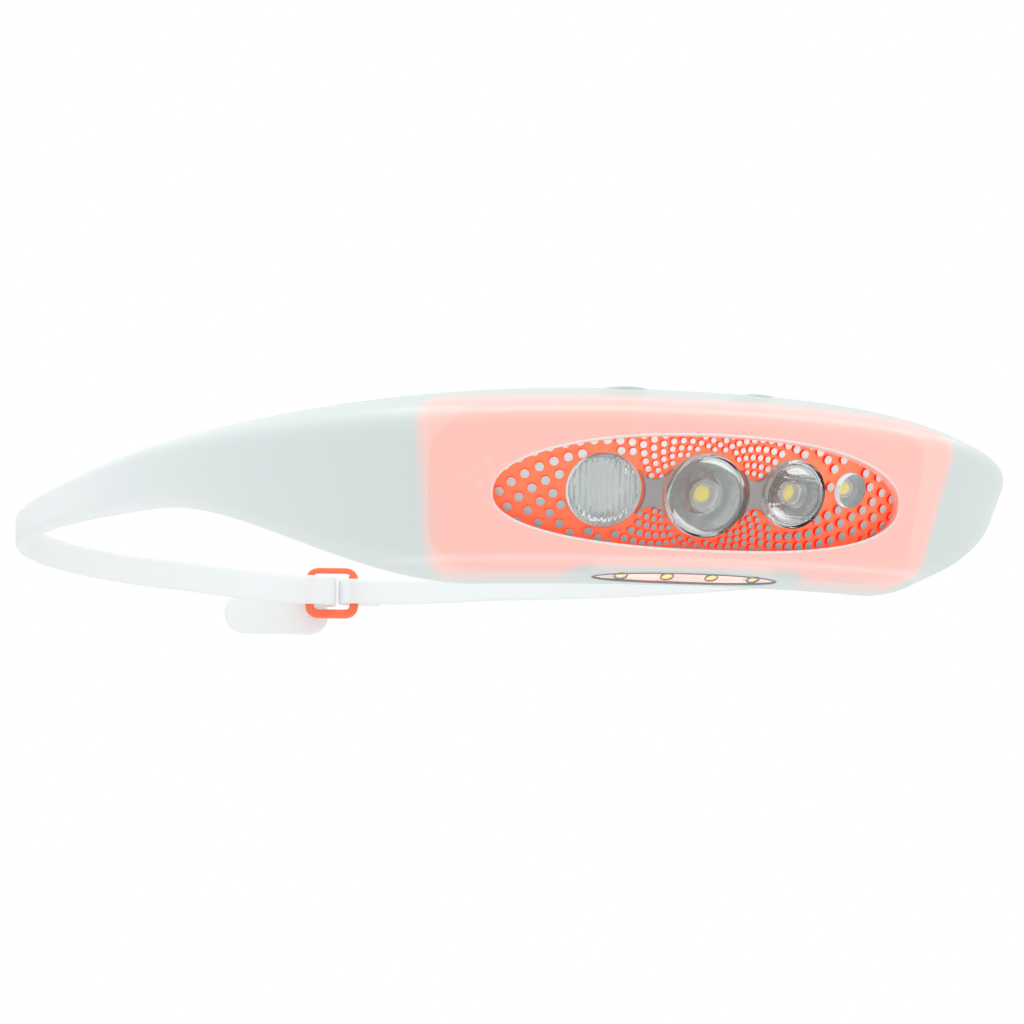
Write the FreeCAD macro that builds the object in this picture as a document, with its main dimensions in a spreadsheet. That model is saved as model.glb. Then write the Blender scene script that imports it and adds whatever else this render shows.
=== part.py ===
import FreeCAD, Part
import Sketcher
import math
import os
from FreeCAD import Placement, Rotation, Vector

# Silicone headlamp: one soft headband that is lamp sleeve and strap in one, a hard lamp core
# that slips out of the sleeve backwards, and a buckle ring that joins the two strap ends.
# Millimetres, +Z up, the lamp faces -Y, origin at the middle of the head opening.

doc = FreeCAD.newDocument("Headlamp")

# ---------------------------------------------------------------- driving dimensions
# alias, value, meaning
DIMENSIONS = (
    ("loop_half_width", 86.25, "head opening, half width from ear to ear"),
    ("loop_half_depth", 98.75, "head opening, half depth from forehead to back"),
    ("strap_height", 6.04, "strap, height"),
    ("strap_thick", 2.4, "strap, thickness"),
    ("strap_edge", 0.5, "strap, bevel of its outer edges"),
    ("strap_dip", 1.0, "strap ends hang this much lower at the buckle"),
    ("dip_run", 30.0, "length of strap over which the ends come down"),
    ("sleeve_top", 11.3, "lamp sleeve, top above the strap's middle"),
    ("sleeve_bottom", 17.15, "lamp sleeve, bottom below the strap's middle"),
    ("top_bevel_drop", 4.4, "front ridge below the sleeve's top"),
    ("bottom_bevel_rise", 3.3, "lower ridge above the sleeve's bottom"),
    ("depth_top", 15.0, "sleeve depth at the front ridge"),
    ("depth_bottom", 7.8, "sleeve depth at the lower ridge"),
    ("top_flat", 8.0, "depth of the flat top"),
    ("top_taper_start", 12.9, "arc where the top edge starts down to the strap"),
    ("top_taper_run", 133.2, "arc over which the top edge comes down"),
    ("bottom_taper_start", 32.0, "arc where the bottom edge starts up to the strap"),
    ("bottom_taper_run", 56.0, "arc over which the bottom edge comes up"),
    ("depth_taper_start", 30.0, "arc where the sleeve starts to get thinner"),
    ("depth_taper_run", 92.0, "arc over which it gets as thin as the strap"),
    ("skin_front", 1.8, "silicone over the front panel"),
    ("skin_roof", 2.4, "silicone over the core's top"),
    ("skin_floor", 1.4, "silicone under the core"),
    ("core_gap", 0.2, "clearance round the core in its pocket"),
    ("core_travel", 24.0, "core, travel out of the sleeve"),
    ("case_half_width", 38.0, "core, half width"),
    ("case_corner", 7.0, "core, corner radius seen from the front"),
    ("case_back", 0.6, "core, back face in front of the loop's inner face"),
    ("case_wall", 1.2, "case, side walls"),
    ("panel_wall", 2.0, "case, front wall"),
    ("lid_thick", 1.2, "back cover, thickness"),
    ("lid_gap", 0.1, "back cover, clearance to the case"),
    ("seal_thick", 0.5, "case seal, thickness"),
    ("seal_width", 1.0, "case seal, width"),
    ("window_half_width", 32.6, "window in the sleeve, half width"),
    ("window_half_height", 8.0, "window in the sleeve, half height"),
    ("window_height", -4.45, "window in the sleeve, height of its middle"),
    ("window_shape", 2.3, "window outline, exponent of its oval"),
    ("plate_margin", 0.4, "faceplate, how far it reaches behind the window's rim"),
    ("plate_thick", 1.0, "faceplate, thickness"),
    ("plate_fit", 0.05, "faceplate, clearance in its seat"),
    ("seat_ledge", 1.2, "ledge that the faceplate rests on"),
    ("flood_arc", -14.95, "flood lens, arc"),
    ("flood_height", -4.8, "flood lens, height of its middle"),
    ("flood_radius", 5.4, "flood lens, radius"),
    ("spot_arc", -1.3, "spot lens, arc"),
    ("spot_height", -5.15, "spot lens, height of its middle"),
    ("spot_radius", 6.1, "spot lens, radius"),
    ("reading_arc", 11.5, "reading lens, arc"),
    ("reading_height", -4.2, "reading lens, height of its middle"),
    ("reading_radius", 5.1, "reading lens, radius"),
    ("small_arc", 20.9, "small lens, arc"),
    ("small_height", -2.95, "small lens, height of its middle"),
    ("small_radius", 2.65, "small lens, radius"),
    ("lens_rim", 1.6, "spot and reading lenses, thickness of the rim behind the faceplate's front"),
    ("lens_tail", 3.9, "spot and reading lenses, depth behind the faceplate's front"),
    ("flat_tail", 2.6, "flood and small lenses, depth behind the faceplate's front"),
    ("lens_neck", 0.5, "spot and reading lenses, radius at the LED as a share of the rim's"),
    ("lens_gap", 0.15, "clearance of a lens in the faceplate"),
    ("lens_proud", 1.5, "lenses stand this far out of the faceplate"),
    ("link_width", 3.2, "links between the three lenses, width"),
    ("link_thick", 1.1, "links between the three lenses, thickness"),
    ("board_depth", 4.7, "LED board, depth behind the faceplate's front"),
    ("board_thick", 0.6, "circuit boards, thickness"),
    ("board_angle", 17.5, "LED board, half angle"),
    ("board_low", -7.9, "LED board, lower edge"),
    ("board_high", 1.2, "LED board, upper edge"),
    ("ribbon_thick", 0.2, "ribbon between the boards, thickness"),
    ("ribbon_angle", 3.0, "ribbon between the boards, half angle"),
    ("led_side", 3.0, "LED package, side"),
    ("led_tall", 0.7, "LED package, height"),
    ("down_arc", -1.3, "down light, arc of its middle"),
    ("down_half_length", 12.9, "down light window, half length"),
    ("down_half_width", 1.15, "down light window, half width"),
    ("down_depth", 2.45, "down light, depth of its middle"),
    ("down_rim", 0.35, "opening in the sleeve, how much wider than the window"),
    ("down_led_pitch", 6.8, "down light, distance between its LEDs"),
    ("down_led_side", 1.4, "down light, LED package, side"),
    ("down_led_tall", 0.5, "down light, LED package, height"),
    ("down_led_depth", 3.15, "down light, depth of the LEDs"),
    ("down_board_inset", 4.1, "down light board, inset from the sleeve's lower bevel"),
    ("down_board_back", 2.45, "down light board, depth of its back edge"),
    ("down_board_front", 3.85, "down light board, depth of its front edge"),
    ("button_depth", 4.6, "buttons, depth of their centres"),
    ("mode_arc", -11.3, "mode button, arc"),
    ("power_arc", 8.1, "power button, arc"),
    ("pad_radius", 2.8, "button pads moulded in the sleeve, radius"),
    ("pad_hump", 0.6, "button pads, height above the sleeve's top"),
    ("pad_gap", 0.3, "slit of thin web round a button pad"),
    ("plunger_radius", 1.95, "button plunger, radius"),
    ("plunger_proud", 0.75, "button plunger, height above the case"),
    ("plunger_flange", 0.5, "button plunger, flange under the roof"),
    ("flange_radius", 2.3, "button plunger, radius of its flange"),
    ("flange_gap", 0.1, "button plunger, clearance of its flange under the roof"),
    ("plunger_gap", 0.2, "button plunger, clearance in the case and in its channel"),
    ("press_travel", 0.6, "buttons, travel"),
    ("switch_side", 4.4, "tact switch, side"),
    ("switch_tall", 1.5, "tact switch, height"),
    ("stem_radius", 0.9, "tact switch stem, radius"),
    ("main_board_drop", 4.6, "main board, top face below the case's top"),
    ("main_board_angle", 15.0, "main board, half angle"),
    ("main_board_back", 2.9, "main board, depth of its back edge"),
    ("main_board_front", 9.2, "main board, depth of its front edge"),
    ("socket_wide", 8.94, "charging socket, width"),
    ("socket_tall", 3.16, "charging socket, height"),
    ("socket_deep", 6.4, "charging socket, depth"),
    ("socket_wall", 0.3, "charging socket, wall"),
    ("socket_arc", -1.6, "charging socket, arc of its middle"),
    ("cell_wide", 6.5, "battery cell, width"),
    ("cell_tall", 11.2, "battery cell, height"),
    ("cell_deep", 3.0, "battery cell, depth"),
    ("cell_angle", 23.7, "battery cells, angle of their middle off the centre"),
    ("cell_height", -4.4, "battery cells, height of their middle"),
    ("cell_gap", 0.4, "battery cells, clearance behind the front wall"),
    ("lead_radius", 0.35, "battery leads, radius"),
    ("lead_height", 6.9, "battery leads, height where they cross the screw bosses"),
    ("lead_depth", 6.0, "battery leads, depth"),
    ("screw_arc", 24.4, "cover screws, arc off the centre"),
    ("screw_radius", 0.8, "cover screws, thread radius"),
    ("screw_high", 4.6, "upper cover screws, height"),
    ("screw_low", -10.3, "lower cover screws, height"),
    ("screw_head", 1.4, "cover screws, head radius"),
    ("screw_long", 2.6, "cover screws, length under the head"),
    ("boss_radius", 1.7, "screw bosses, radius"),
    ("ring_width", 12.6, "buckle ring, width"),
    ("ring_height", 12.0, "buckle ring, height"),
    ("ring_bar", 2.1, "buckle ring, bar diameter"),
    ("ring_corner", 1.8, "buckle ring, corner radius at the bars' centre line"),
    ("ring_drop", 1.25, "buckle ring, centre below the strap's middle"),
    ("ring_shift", 5.1, "buckle ring, centre left of the middle of the back"),
    ("fold_gap_right", 0.35, "clearance of the right fold round its bar"),
    ("fold_gap_left", 3.0, "clearance of the left fold round its bar"),
    ("left_flare", 0.45, "left strap, growth of its half height towards the buckle"),
    ("flare_run", 90.0, "left strap, length over which it grows"),
    ("tail_long", 7.0, "loose end, length outside the left bar"),
    ("tab_reach", 5.8, "pull tab, how far it reaches right of the left bar"),
    ("tab_long", 25.0, "pull tab, length"),
    ("tab_tall", 9.4, "pull tab, height"),
    ("tab_drop", 6.1, "pull tab, centre below the strap's middle"),
    ("tab_thick", 1.8, "pull tab, thickness"),
)

sheet = doc.addObject("Spreadsheet::Sheet", "Sizes")
for row, (alias, value, meaning) in enumerate(DIMENSIONS, start=1):
    sheet.set(f"A{row}", meaning)
    sheet.set(f"B{row}", str(value))
    sheet.setAlias(f"B{row}", alias)
doc.recompute()


class Size:
    """A driving dimension, or a sum of several: its value, and the expression that binds it to the sheet."""

    def __init__(self, value, text):
        self.value = float(value)
        self.text = text

    @staticmethod
    def of(other):
        return other if isinstance(other, Size) else Size(other, repr(float(other)))

    def __add__(self, other):
        other = Size.of(other)
        return Size(self.value + other.value, f"({self.text} + {other.text})")

    def __sub__(self, other):
        other = Size.of(other)
        return Size(self.value - other.value, f"({self.text} - {other.text})")

    def __mul__(self, other):
        other = Size.of(other)
        return Size(self.value * other.value, f"({self.text} * {other.text})")

    def __truediv__(self, other):
        other = Size.of(other)
        return Size(self.value / other.value, f"({self.text} / {other.text})")

    def __neg__(self):
        return Size(-self.value, f"(0 - {self.text})")

    def root(self):
        return Size(math.sqrt(self.value), f"sqrt({self.text})")


def size(alias):
    """The sheet's dimension of that alias."""
    return Size(sheet.get(alias), f"Sizes.{alias}")


def bind(thing, **sizes):
    """Bind an object's properties to sizes."""
    for name, amount in sizes.items():
        amount = Size.of(amount)
        setattr(thing, name, amount.value)
        thing.setExpression(name, amount.text)
    return thing


ORIGIN = Vector(0, 0, 0)
AXIS_X = Vector(1, 0, 0)
AXIS_Y = Vector(0, 1, 0)
AXIS_Z = Vector(0, 0, 1)
THROUGH = 60.0      # long enough to pass through the sleeve from any side

# ---------------------------------------------------------------- shape of the sleeve
bend_radius = size("loop_half_width") * size("loop_half_width") / size("loop_half_depth")
bend_centre = bend_radius - size("loop_half_depth")
ridge_top = size("sleeve_top") - size("top_bevel_drop")
ridge_bottom = size("bottom_bevel_rise") - size("sleeve_bottom")
panel_lean = (size("depth_top") - size("depth_bottom")) / (ridge_top - ridge_bottom)
panel_slant = (panel_lean * panel_lean + 1).root()
floor_rise = size("bottom_bevel_rise") / size("depth_bottom")
floor_slant = (floor_rise * floor_rise + 1).root()
bevel_fall = size("top_bevel_drop") / (size("depth_top") - size("top_flat"))
bevel_slant = (bevel_fall * bevel_fall + 1).root()
panel_pitch = math.degrees(math.atan(panel_lean.value))

# The core is bent round an upright axis behind the forehead. Its parts are drawn in a frame on
# that axis: X forwards (out of the head), Y to the wearer's left hand side of the lamp, Z up.
core_frame = Placement(Vector(0, bend_centre.value, 0), Rotation(AXIS_Z, -90))


def place_on_core(thing):
    """Put an object drawn in the core's frame where the core is."""
    thing.Placement = core_frame
    thing.setExpression(".Placement.Base.y", bend_centre.text)


def floor_height(depth, inset):
    """Height of the sleeve's lower bevel at a depth, moved inwards by inset."""
    return depth * floor_rise - size("sleeve_bottom") + inset * floor_slant


def panel_depth(height, inset):
    """Depth of the front panel at a height, moved inwards by inset."""
    return size("depth_bottom") + (height - ridge_bottom) * panel_lean - inset * panel_slant


def core_outline(front, roof, floor, back):
    """Section of the core's space, inset from the sleeve's outer faces: (depth, height) points."""
    low_step = (panel_lean * floor * floor_slant - front * panel_slant) / (-(panel_lean * floor_rise) + 1)
    low_depth = size("depth_bottom") + low_step
    high_step = -((bevel_slant * roof * panel_lean + front * panel_slant) / (bevel_fall * panel_lean + 1))
    high_depth = size("depth_top") + high_step
    high_height = ridge_top - high_step * bevel_fall - roof * bevel_slant
    top_height = size("sleeve_top") - roof
    top_depth = size("top_flat") + (size("sleeve_top") - roof * bevel_slant - top_height) / bevel_fall
    return [
        (back, floor_height(back, floor)),
        (low_depth, floor_height(low_depth, floor)),
        (high_depth, high_height),
        (top_depth, top_height),
        (back, top_height),
    ]


# ---------------------------------------------------------------- makers
def origin_plane(body, role):
    return next(f for f in body.Origin.OriginFeatures if f.Role == role)


def outline_sketch(body, name, role, points):
    """A closed polygon in a body's origin plane, every corner bound to its two sizes."""
    sketch = body.newObject("Sketcher::SketchObject", name)
    sketch.AttachmentSupport = [(origin_plane(body, role), "")]
    sketch.MapMode = "FlatFace"
    corners = [Vector(Size.of(across).value, Size.of(up).value, 0) for across, up in points]
    count = len(corners)
    for n in range(count):
        sketch.addGeometry(Part.LineSegment(corners[n], corners[(n + 1) % count]), False)
    for n in range(count):
        sketch.addConstraint(Sketcher.Constraint("Coincident", n, 2, (n + 1) % count, 1))
    for n, (across, up) in enumerate(points):
        for kind, amount in (("DistanceX", Size.of(across)), ("DistanceY", Size.of(up))):
            index = sketch.addConstraint(Sketcher.Constraint(kind, -1, 1, n, 1, amount.value))
            sketch.setExpression(f"Constraints[{index}]", amount.text)
    return sketch


def turned(name, points, half_angle):
    """A body turned round the core's upright axis from a (depth, height) section, both ways from the middle."""
    body = doc.addObject("PartDesign::Body", name)
    section = [(bend_radius + depth, height) for depth, height in points]
    sketch = outline_sketch(body, name + "_section", "XZ_Plane", section)
    turn = body.newObject("PartDesign::Revolution", name + "_turn")
    turn.Profile = sketch
    turn.ReferenceAxis = (sketch, ["V_Axis"])
    turn.Midplane = True
    bind(turn, Angle=Size.of(half_angle) * 2)
    place_on_core(body)
    doc.recompute()
    return body


def front_block(name, half_width, low, high, corner):
    """A block with the core's front outline, its four long edges rounded, running front to back."""
    body = doc.addObject("PartDesign::Body", name)
    corners = [(-half_width, low), (half_width, low), (half_width, high), (-half_width, high)]
    sketch = outline_sketch(body, name + "_outline", "YZ_Plane", corners)
    pad = body.newObject("PartDesign::Pad", name + "_pad")
    pad.Profile = sketch
    bind(pad, Length=bend_radius + THROUGH)
    doc.recompute()
    long_edges = [f"Edge{n}" for n, edge in enumerate(pad.Shape.Edges, start=1) if runs_front_to_back(edge)]
    fillet = body.newObject("PartDesign::Fillet", name + "_corners")
    fillet.Base = (pad, long_edges)
    bind(fillet, Radius=corner)
    place_on_core(body)
    doc.recompute()
    return body


def runs_front_to_back(edge):
    start, end = (vertex.Point for vertex in edge.Vertexes)
    return abs(start.y - end.y) < 1e-6 and abs(start.z - end.z) < 1e-6


def box(name, length, width, height, placement):
    """A box centred in length and width on its placement, rising from it."""
    made = bind(doc.addObject("Part::Box", name), Length=length, Width=width, Height=height)
    made.Placement = placement.multiply(Placement(Vector(-made.Length.Value / 2, -made.Width.Value / 2, 0), Rotation()))
    return made


def cylinder(name, radius, height, placement):
    made = bind(doc.addObject("Part::Cylinder", name), Radius=radius, Height=height)
    made.Placement = placement
    return made


def cone(name, low_radius, high_radius, height, placement):
    made = bind(doc.addObject("Part::Cone", name), Radius1=low_radius, Radius2=high_radius, Height=height)
    made.Placement = placement
    return made


def solid(name, shape, placement=None):
    made = doc.addObject("Part::Feature", name)
    made.Shape = shape
    if placement is not None:
        made.Placement = placement
    return made


def cut(name, base, tools):
    """A base with every tool taken out of it."""
    made = base
    for n, tool in enumerate(tools, start=1):
        step = doc.addObject("Part::Cut", name if n == len(tools) else f"{name}_{n}")
        step.Base = made
        step.Tool = tool
        made = step
    doc.recompute()
    return made


def fuse(name, pieces):
    made = doc.addObject("Part::MultiFuse", name)
    made.Shapes = pieces
    doc.recompute()
    return made


def common(name, pieces):
    made = doc.addObject("Part::MultiCommon", name)
    made.Shapes = pieces
    doc.recompute()
    return made


def group(name, pieces):
    """Separate solids kept side by side in one node."""
    made = doc.addObject("Part::Compound", name)
    made.Links = pieces
    doc.recompute()
    return made


def core_spot(arc, depth, height):
    """A frame on the core: Z up, X forwards, at an arc off the centre, a depth and a height."""
    angle = math.degrees(arc / bend_radius.value)
    spot = Vector(bend_radius.value + depth, 0, height)
    return core_frame.multiply(Placement(ORIGIN, Rotation(AXIS_Z, angle))).multiply(Placement(spot, Rotation()))


def panel_spot(arc, height, inset):
    """A frame on the leaning front panel, Z out of it: at an arc and height of the sleeve's face, then inwards by inset."""
    depth = panel_depth(Size.of(height), Size.of(0)).value
    outwards = Placement(ORIGIN, Rotation(AXIS_Y, 90 + panel_pitch))
    return core_spot(arc, depth, height).multiply(outwards).multiply(Placement(AXIS_Z * -inset, Rotation()))


# ---------------------------------------------------------------- headband
quarter_points = 2000


def loop_arc():
    """Arc lengths, points and outward directions along the loop's inner oval, from its back round to its back."""
    half_width = size("loop_half_width").value
    half_depth = size("loop_half_depth").value
    arcs, spots = [0.0], [Vector(0, -half_depth, 0)]
    for n in range(1, quarter_points * 2 + 1):
        angle = math.pi * n / (quarter_points * 2)
        spot = Vector(half_width * math.sin(angle), -half_depth * math.cos(angle), 0)
        arcs.append(arcs[-1] + spot.distanceToPoint(spots[-1]))
        spots.append(spot)
    return arcs, spots


LOOP_ARCS, LOOP_SPOTS = loop_arc()
HALF_LOOP = LOOP_ARCS[-1]


def loop_spot(arc):
    """Point and outward direction of the inner oval at an arc from the forehead, plus to the right."""
    reach = min(abs(arc), HALF_LOOP)
    low, high = 0, len(LOOP_ARCS) - 1
    while high - low > 1:
        middle = (low + high) // 2
        if LOOP_ARCS[middle] <= reach:
            low = middle
        else:
            high = middle
    share = (reach - LOOP_ARCS[low]) / (LOOP_ARCS[high] - LOOP_ARCS[low])
    spot = LOOP_SPOTS[low] + (LOOP_SPOTS[high] - LOOP_SPOTS[low]) * share
    out = Vector(spot.x / size("loop_half_width").value ** 2, spot.y / size("loop_half_depth").value ** 2, 0)
    out.normalize()
    side = 1 if arc >= 0 else -1
    return Vector(spot.x * side, spot.y, 0), Vector(out.x * side, out.y, 0)


def eased(amount):
    """0 to 1 along a soft S."""
    held = min(1.0, max(0.0, amount))
    return held * held * (3 - 2 * held)


def taper(arc, start, run):
    """1 at the lamp, 0 where the band has become the strap."""
    return 1 - eased((abs(arc) - size(start).value) / size(run).value)


def strap_lift(arc, end_arc):
    """How much lower the strap's middle is near its ends."""
    run = size("dip_run").value
    return -size("strap_dip").value * eased((abs(arc) - (end_arc - run)) / run)


def strap_half(arc, end_arc):
    """Half the strap's height: the left end is a little taller."""
    run = size("flare_run").value
    flare = size("left_flare").value * eased((-arc - (end_arc - run)) / run)
    return size("strap_height").value / 2 + flare


def band_section(arc, end_arc):
    """Cross-section of the band at an arc: a five-cornered wire, square to the loop."""
    half = strap_half(arc, end_arc)
    thick = size("strap_thick").value
    edge = size("strap_edge").value
    top_share = taper(arc, "top_taper_start", "top_taper_run")
    bottom_share = taper(arc, "bottom_taper_start", "bottom_taper_run")
    depth_share = taper(arc, "depth_taper_start", "depth_taper_run")
    top = half + (size("sleeve_top").value - half) * top_share
    bottom = -half - (size("sleeve_bottom").value - half) * bottom_share
    fullness = (top - bottom - 2 * half) / (size("sleeve_top").value + size("sleeve_bottom").value - 2 * half)
    drop = edge + (size("top_bevel_drop").value - edge) * fullness
    rise = edge + (size("bottom_bevel_rise").value - edge) * fullness
    front = thick + (size("depth_top").value - thick) * depth_share
    low_front = thick + (size("depth_bottom").value - thick) * depth_share
    flat = thick - edge + (size("top_flat").value - thick + edge) * depth_share
    corners = [(0, bottom), (low_front, bottom + rise), (front, top - drop), (flat, top), (0, top)]
    spot, out = loop_spot(arc)
    lift = strap_lift(arc, end_arc)
    return Part.makePolygon([spot + out * depth + AXIS_Z * (height + lift) for depth, height in corners + corners[:1]])


def spaced(start, end, step):
    count = max(1, round((end - start) / step))
    return [start + (end - start) * n / count for n in range(count + 1)]


# Buckle bars: the right bar lies against the right strap's fold, the left one has play.
bar_radius = size("ring_bar").value / 2
bar_reach = (size("ring_width").value - size("ring_bar").value) / 2
right_bar_x = bar_reach - size("ring_shift").value
left_bar_x = -bar_reach - size("ring_shift").value
fold_right = bar_radius + size("fold_gap_right").value
fold_left = bar_radius + size("fold_gap_left").value


# The strap's last straight runs leave the oval this far before each bar and rise outwards a little.
FOLD_LEAD = 7.0
FOLD_RISE = 1.1
left_end_arc = HALF_LOOP + left_bar_x - FOLD_LEAD
right_end_arc = HALF_LOOP - right_bar_x - FOLD_LEAD
left_spot, left_out = loop_spot(-left_end_arc)
right_spot, right_out = loop_spot(right_end_arc)
left_bar_y = left_spot.y + FOLD_RISE + size("strap_thick").value + fold_left
right_bar_y = right_spot.y + size("strap_thick").value + fold_right


def band_blank():
    """The band as one solid, from the left fold round the forehead to the right fold."""
    front_reach = size("depth_taper_start").value + size("depth_taper_run").value
    arcs = spaced(-left_end_arc, -front_reach, 16.0) + spaced(-front_reach, front_reach, 9.0)[1:]
    arcs += spaced(front_reach, right_end_arc, 16.0)[1:]
    wires = [band_section(arc, left_end_arc if arc < 0 else right_end_arc) for arc in arcs]
    return Part.makeLoft(wires, True, False)


def upright(points, low, tall):
    """A prism standing on a plan outline."""
    face = Part.Face(Part.makePolygon([Vector(x, y, low) for x, y in points + points[:1]]))
    return face.extrude(AXIS_Z * tall)


def strap_fold(spot, out, bar_x, bar_y, inner_radius, side, tail, tall):
    """One strap end: its last run, the turn round the buckle's bar, and the end that lies outside."""
    thick = size("strap_thick").value
    low = -size("strap_dip").value - tall / 2
    outer_radius = inner_radius + thick
    start_in = (spot.x, spot.y)
    start_out = (spot.x + out.x * thick, spot.y + out.y * thick)
    run = upright([start_in, (bar_x, bar_y - outer_radius), (bar_x, bar_y - inner_radius), start_out], low, tall)
    centre = Vector(bar_x, bar_y, low)
    turn = Part.makeCylinder(outer_radius, tall, centre).cut(Part.makeCylinder(inner_radius, tall, centre))
    turn_side = Part.makeBox(outer_radius, 2 * outer_radius, tall, Vector(0, -outer_radius, 0))
    if side < 0:
        turn_side.translate(Vector(-outer_radius, 0, 0))
    turn_side.translate(centre)
    end_x = bar_x - side * tail
    end = upright([(bar_x, bar_y + inner_radius), (end_x, bar_y + inner_radius),
                   (end_x, bar_y + outer_radius), (bar_x, bar_y + outer_radius)], low, tall)
    return run.fuse([turn.common(turn_side), end])


def pull_tab():
    """The flat tab at the end of the loose end: a long round-ended plate hanging below the strap."""
    tall = size("tab_tall").value
    thick = size("tab_thick").value
    half_run = (size("tab_long").value - tall) / 2
    left_x = left_bar_x + size("tab_reach").value - size("tab_long").value / 2
    face_y = left_bar_y + fold_left
    height = -size("tab_drop").value
    ends = [Part.makeCylinder(tall / 2, thick, Vector(x, face_y, height), AXIS_Y) for x in (left_x - half_run, left_x + half_run)]
    middle = Part.makeBox(2 * half_run, thick, tall, Vector(left_x - half_run, face_y, height - tall / 2))
    return middle.fuse(ends)


def oval_face(half_width, half_height, exponent):
    """An oval in the core frame's upright cross plane, fuller than an ellipse when the exponent is over 2."""
    points = []
    steps = 48
    for n in range(steps):
        angle = 2 * math.pi * n / steps
        across, up = math.cos(angle), math.sin(angle)
        points.append(Vector(0, math.copysign(abs(across) ** (2 / exponent), across) * half_width,
                             math.copysign(abs(up) ** (2 / exponent), up) * half_height))
    curve = Part.BSplineCurve()
    curve.interpolate(points, PeriodicFlag=True)
    return Part.Face(Part.Wire(curve.toShape()))


def window_prism(name, grow):
    """The window's outline, grown, running front to back through the front panel."""
    face = oval_face(size("window_half_width").value + grow, size("window_half_height").value + grow,
                     size("window_shape").value)
    face.translate(Vector(0, 0, size("window_height").value))
    return solid(name, face.extrude(AXIS_X * (bend_radius.value + THROUGH)), core_frame)


def down_prism(name, grow):
    """The down light's outline, grown: a slot with round ends along the arc, running upwards."""
    half_width = size("down_half_width").value + grow
    middle = bend_radius.value + size("down_depth").value
    half_angle = size("down_half_length").value / bend_radius.value
    low, tall = -size("sleeve_bottom").value - 2, size("sleeve_bottom").value
    centre_angle = size("down_arc").value / bend_radius.value
    ring = Part.makeCylinder(middle + half_width, tall, Vector(0, 0, low)).cut(
        Part.makeCylinder(middle - half_width, tall, Vector(0, 0, low)))
    reach = middle * 2
    ends = [centre_angle - half_angle, centre_angle + half_angle]
    wedge = upright([(0, 0)] + [(reach * math.cos(angle), reach * math.sin(angle)) for angle in ends], low, tall)
    caps = [Part.makeCylinder(half_width, tall, Vector(middle * math.cos(angle), middle * math.sin(angle), low)) for angle in ends]
    return solid(name, ring.common(wedge).fuse(caps), core_frame)


BACK_OPEN = -6.0     # behind the sleeve's inner face
WIDE_ANGLE = 40.0    # past the core's ends
roof = size("skin_roof")
core_roof = roof + size("core_gap")
core_top = size("sleeve_top") - core_roof
channel_top = core_top + size("plunger_proud") + size("plunger_gap")

pocket_turn = turned("pocket_turn", core_outline(size("skin_front"), roof, size("skin_floor"), Size.of(BACK_OPEN)), WIDE_ANGLE)
pocket_block = front_block("pocket_block", size("case_half_width") + size("core_gap"),
                           floor_height(Size.of(BACK_OPEN), size("skin_floor")), size("sleeve_top") - roof, size("case_corner"))
pocket = common("pocket", [pocket_turn, pocket_block])

button_arcs = {"mode": size("mode_arc"), "power": size("power_arc")}


def button_spot(arc, height):
    return core_spot(arc.value, size("button_depth").value, height)


def button_channel(name, arc):
    """Way for a plunger along the pocket's roof, open to the back."""
    spot = button_spot(arc, (core_top - 1).value)
    centre = core_frame.inverse().multVec(spot.Base)
    half = size("plunger_radius") + size("plunger_gap") + size("core_gap")
    length = centre.x - bend_radius.value - BACK_OPEN + half.value
    start = Vector(bend_radius.value + BACK_OPEN, centre.y - half.value, core_top.value - 1)
    made = bind(doc.addObject("Part::Box", name), Length=length, Width=half * 2, Height=channel_top - core_top + 1)
    made.Placement = core_frame.multiply(Placement(start, Rotation()))
    return made


channels = [button_channel(f"{name}_channel", arc) for name, arc in button_arcs.items()]
pad_holes = [cylinder(f"{name}_pad_hole", size("pad_radius") + size("pad_gap"), THROUGH, button_spot(arc, core_top.value))
             for name, arc in button_arcs.items()]

left_tall = 2 * strap_half(-left_end_arc, left_end_arc)
right_tall = 2 * strap_half(right_end_arc, right_end_arc)
tail_long = size("tail_long").value
left_fold = strap_fold(left_spot, left_out, left_bar_x, left_bar_y, fold_left, 1, tail_long, left_tall)
right_fold = strap_fold(right_spot, right_out, right_bar_x, right_bar_y, fold_right, -1, tail_long, right_tall)
blank = solid("band_blank", band_blank().fuse([left_fold, right_fold, pull_tab()]))
headband = cut("silicone_headband_cut", blank, [
    pocket,
    window_prism("window_opening", 0),
    down_prism("down_opening", size("down_rim").value),
] + channels + pad_holes)

pads = {}
for name, arc in button_arcs.items():
    spot = button_spot(arc, channel_top.value)
    stem_tall = size("sleeve_top") - channel_top
    stem = cylinder(f"{name}_pad_stem", size("pad_radius"), stem_tall, spot)
    hump = cone(f"{name}_pad_hump", size("pad_radius"), size("pad_radius") * 0.7, size("pad_hump"),
                button_spot(arc, size("sleeve_top").value))
    pads[name] = fuse(f"{name}_pad_fused", [stem, hump])

# ---------------------------------------------------------------- case
case_front = size("skin_front") + size("core_gap")
case_floor = size("skin_floor") + size("core_gap")
hollow_front = case_front + size("panel_wall")
hollow_roof = core_roof + size("case_wall")
hollow_floor = case_floor + size("case_wall")
hollow_top = size("sleeve_top") - hollow_roof
hollow_half_width = size("case_half_width") - size("case_wall")
hollow_corner = size("case_corner") - size("case_wall")
plate_back = case_front + size("plate_thick")
lid_front = size("case_back") + size("lid_thick")
seal_front = lid_front + size("seal_thick")

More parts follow.
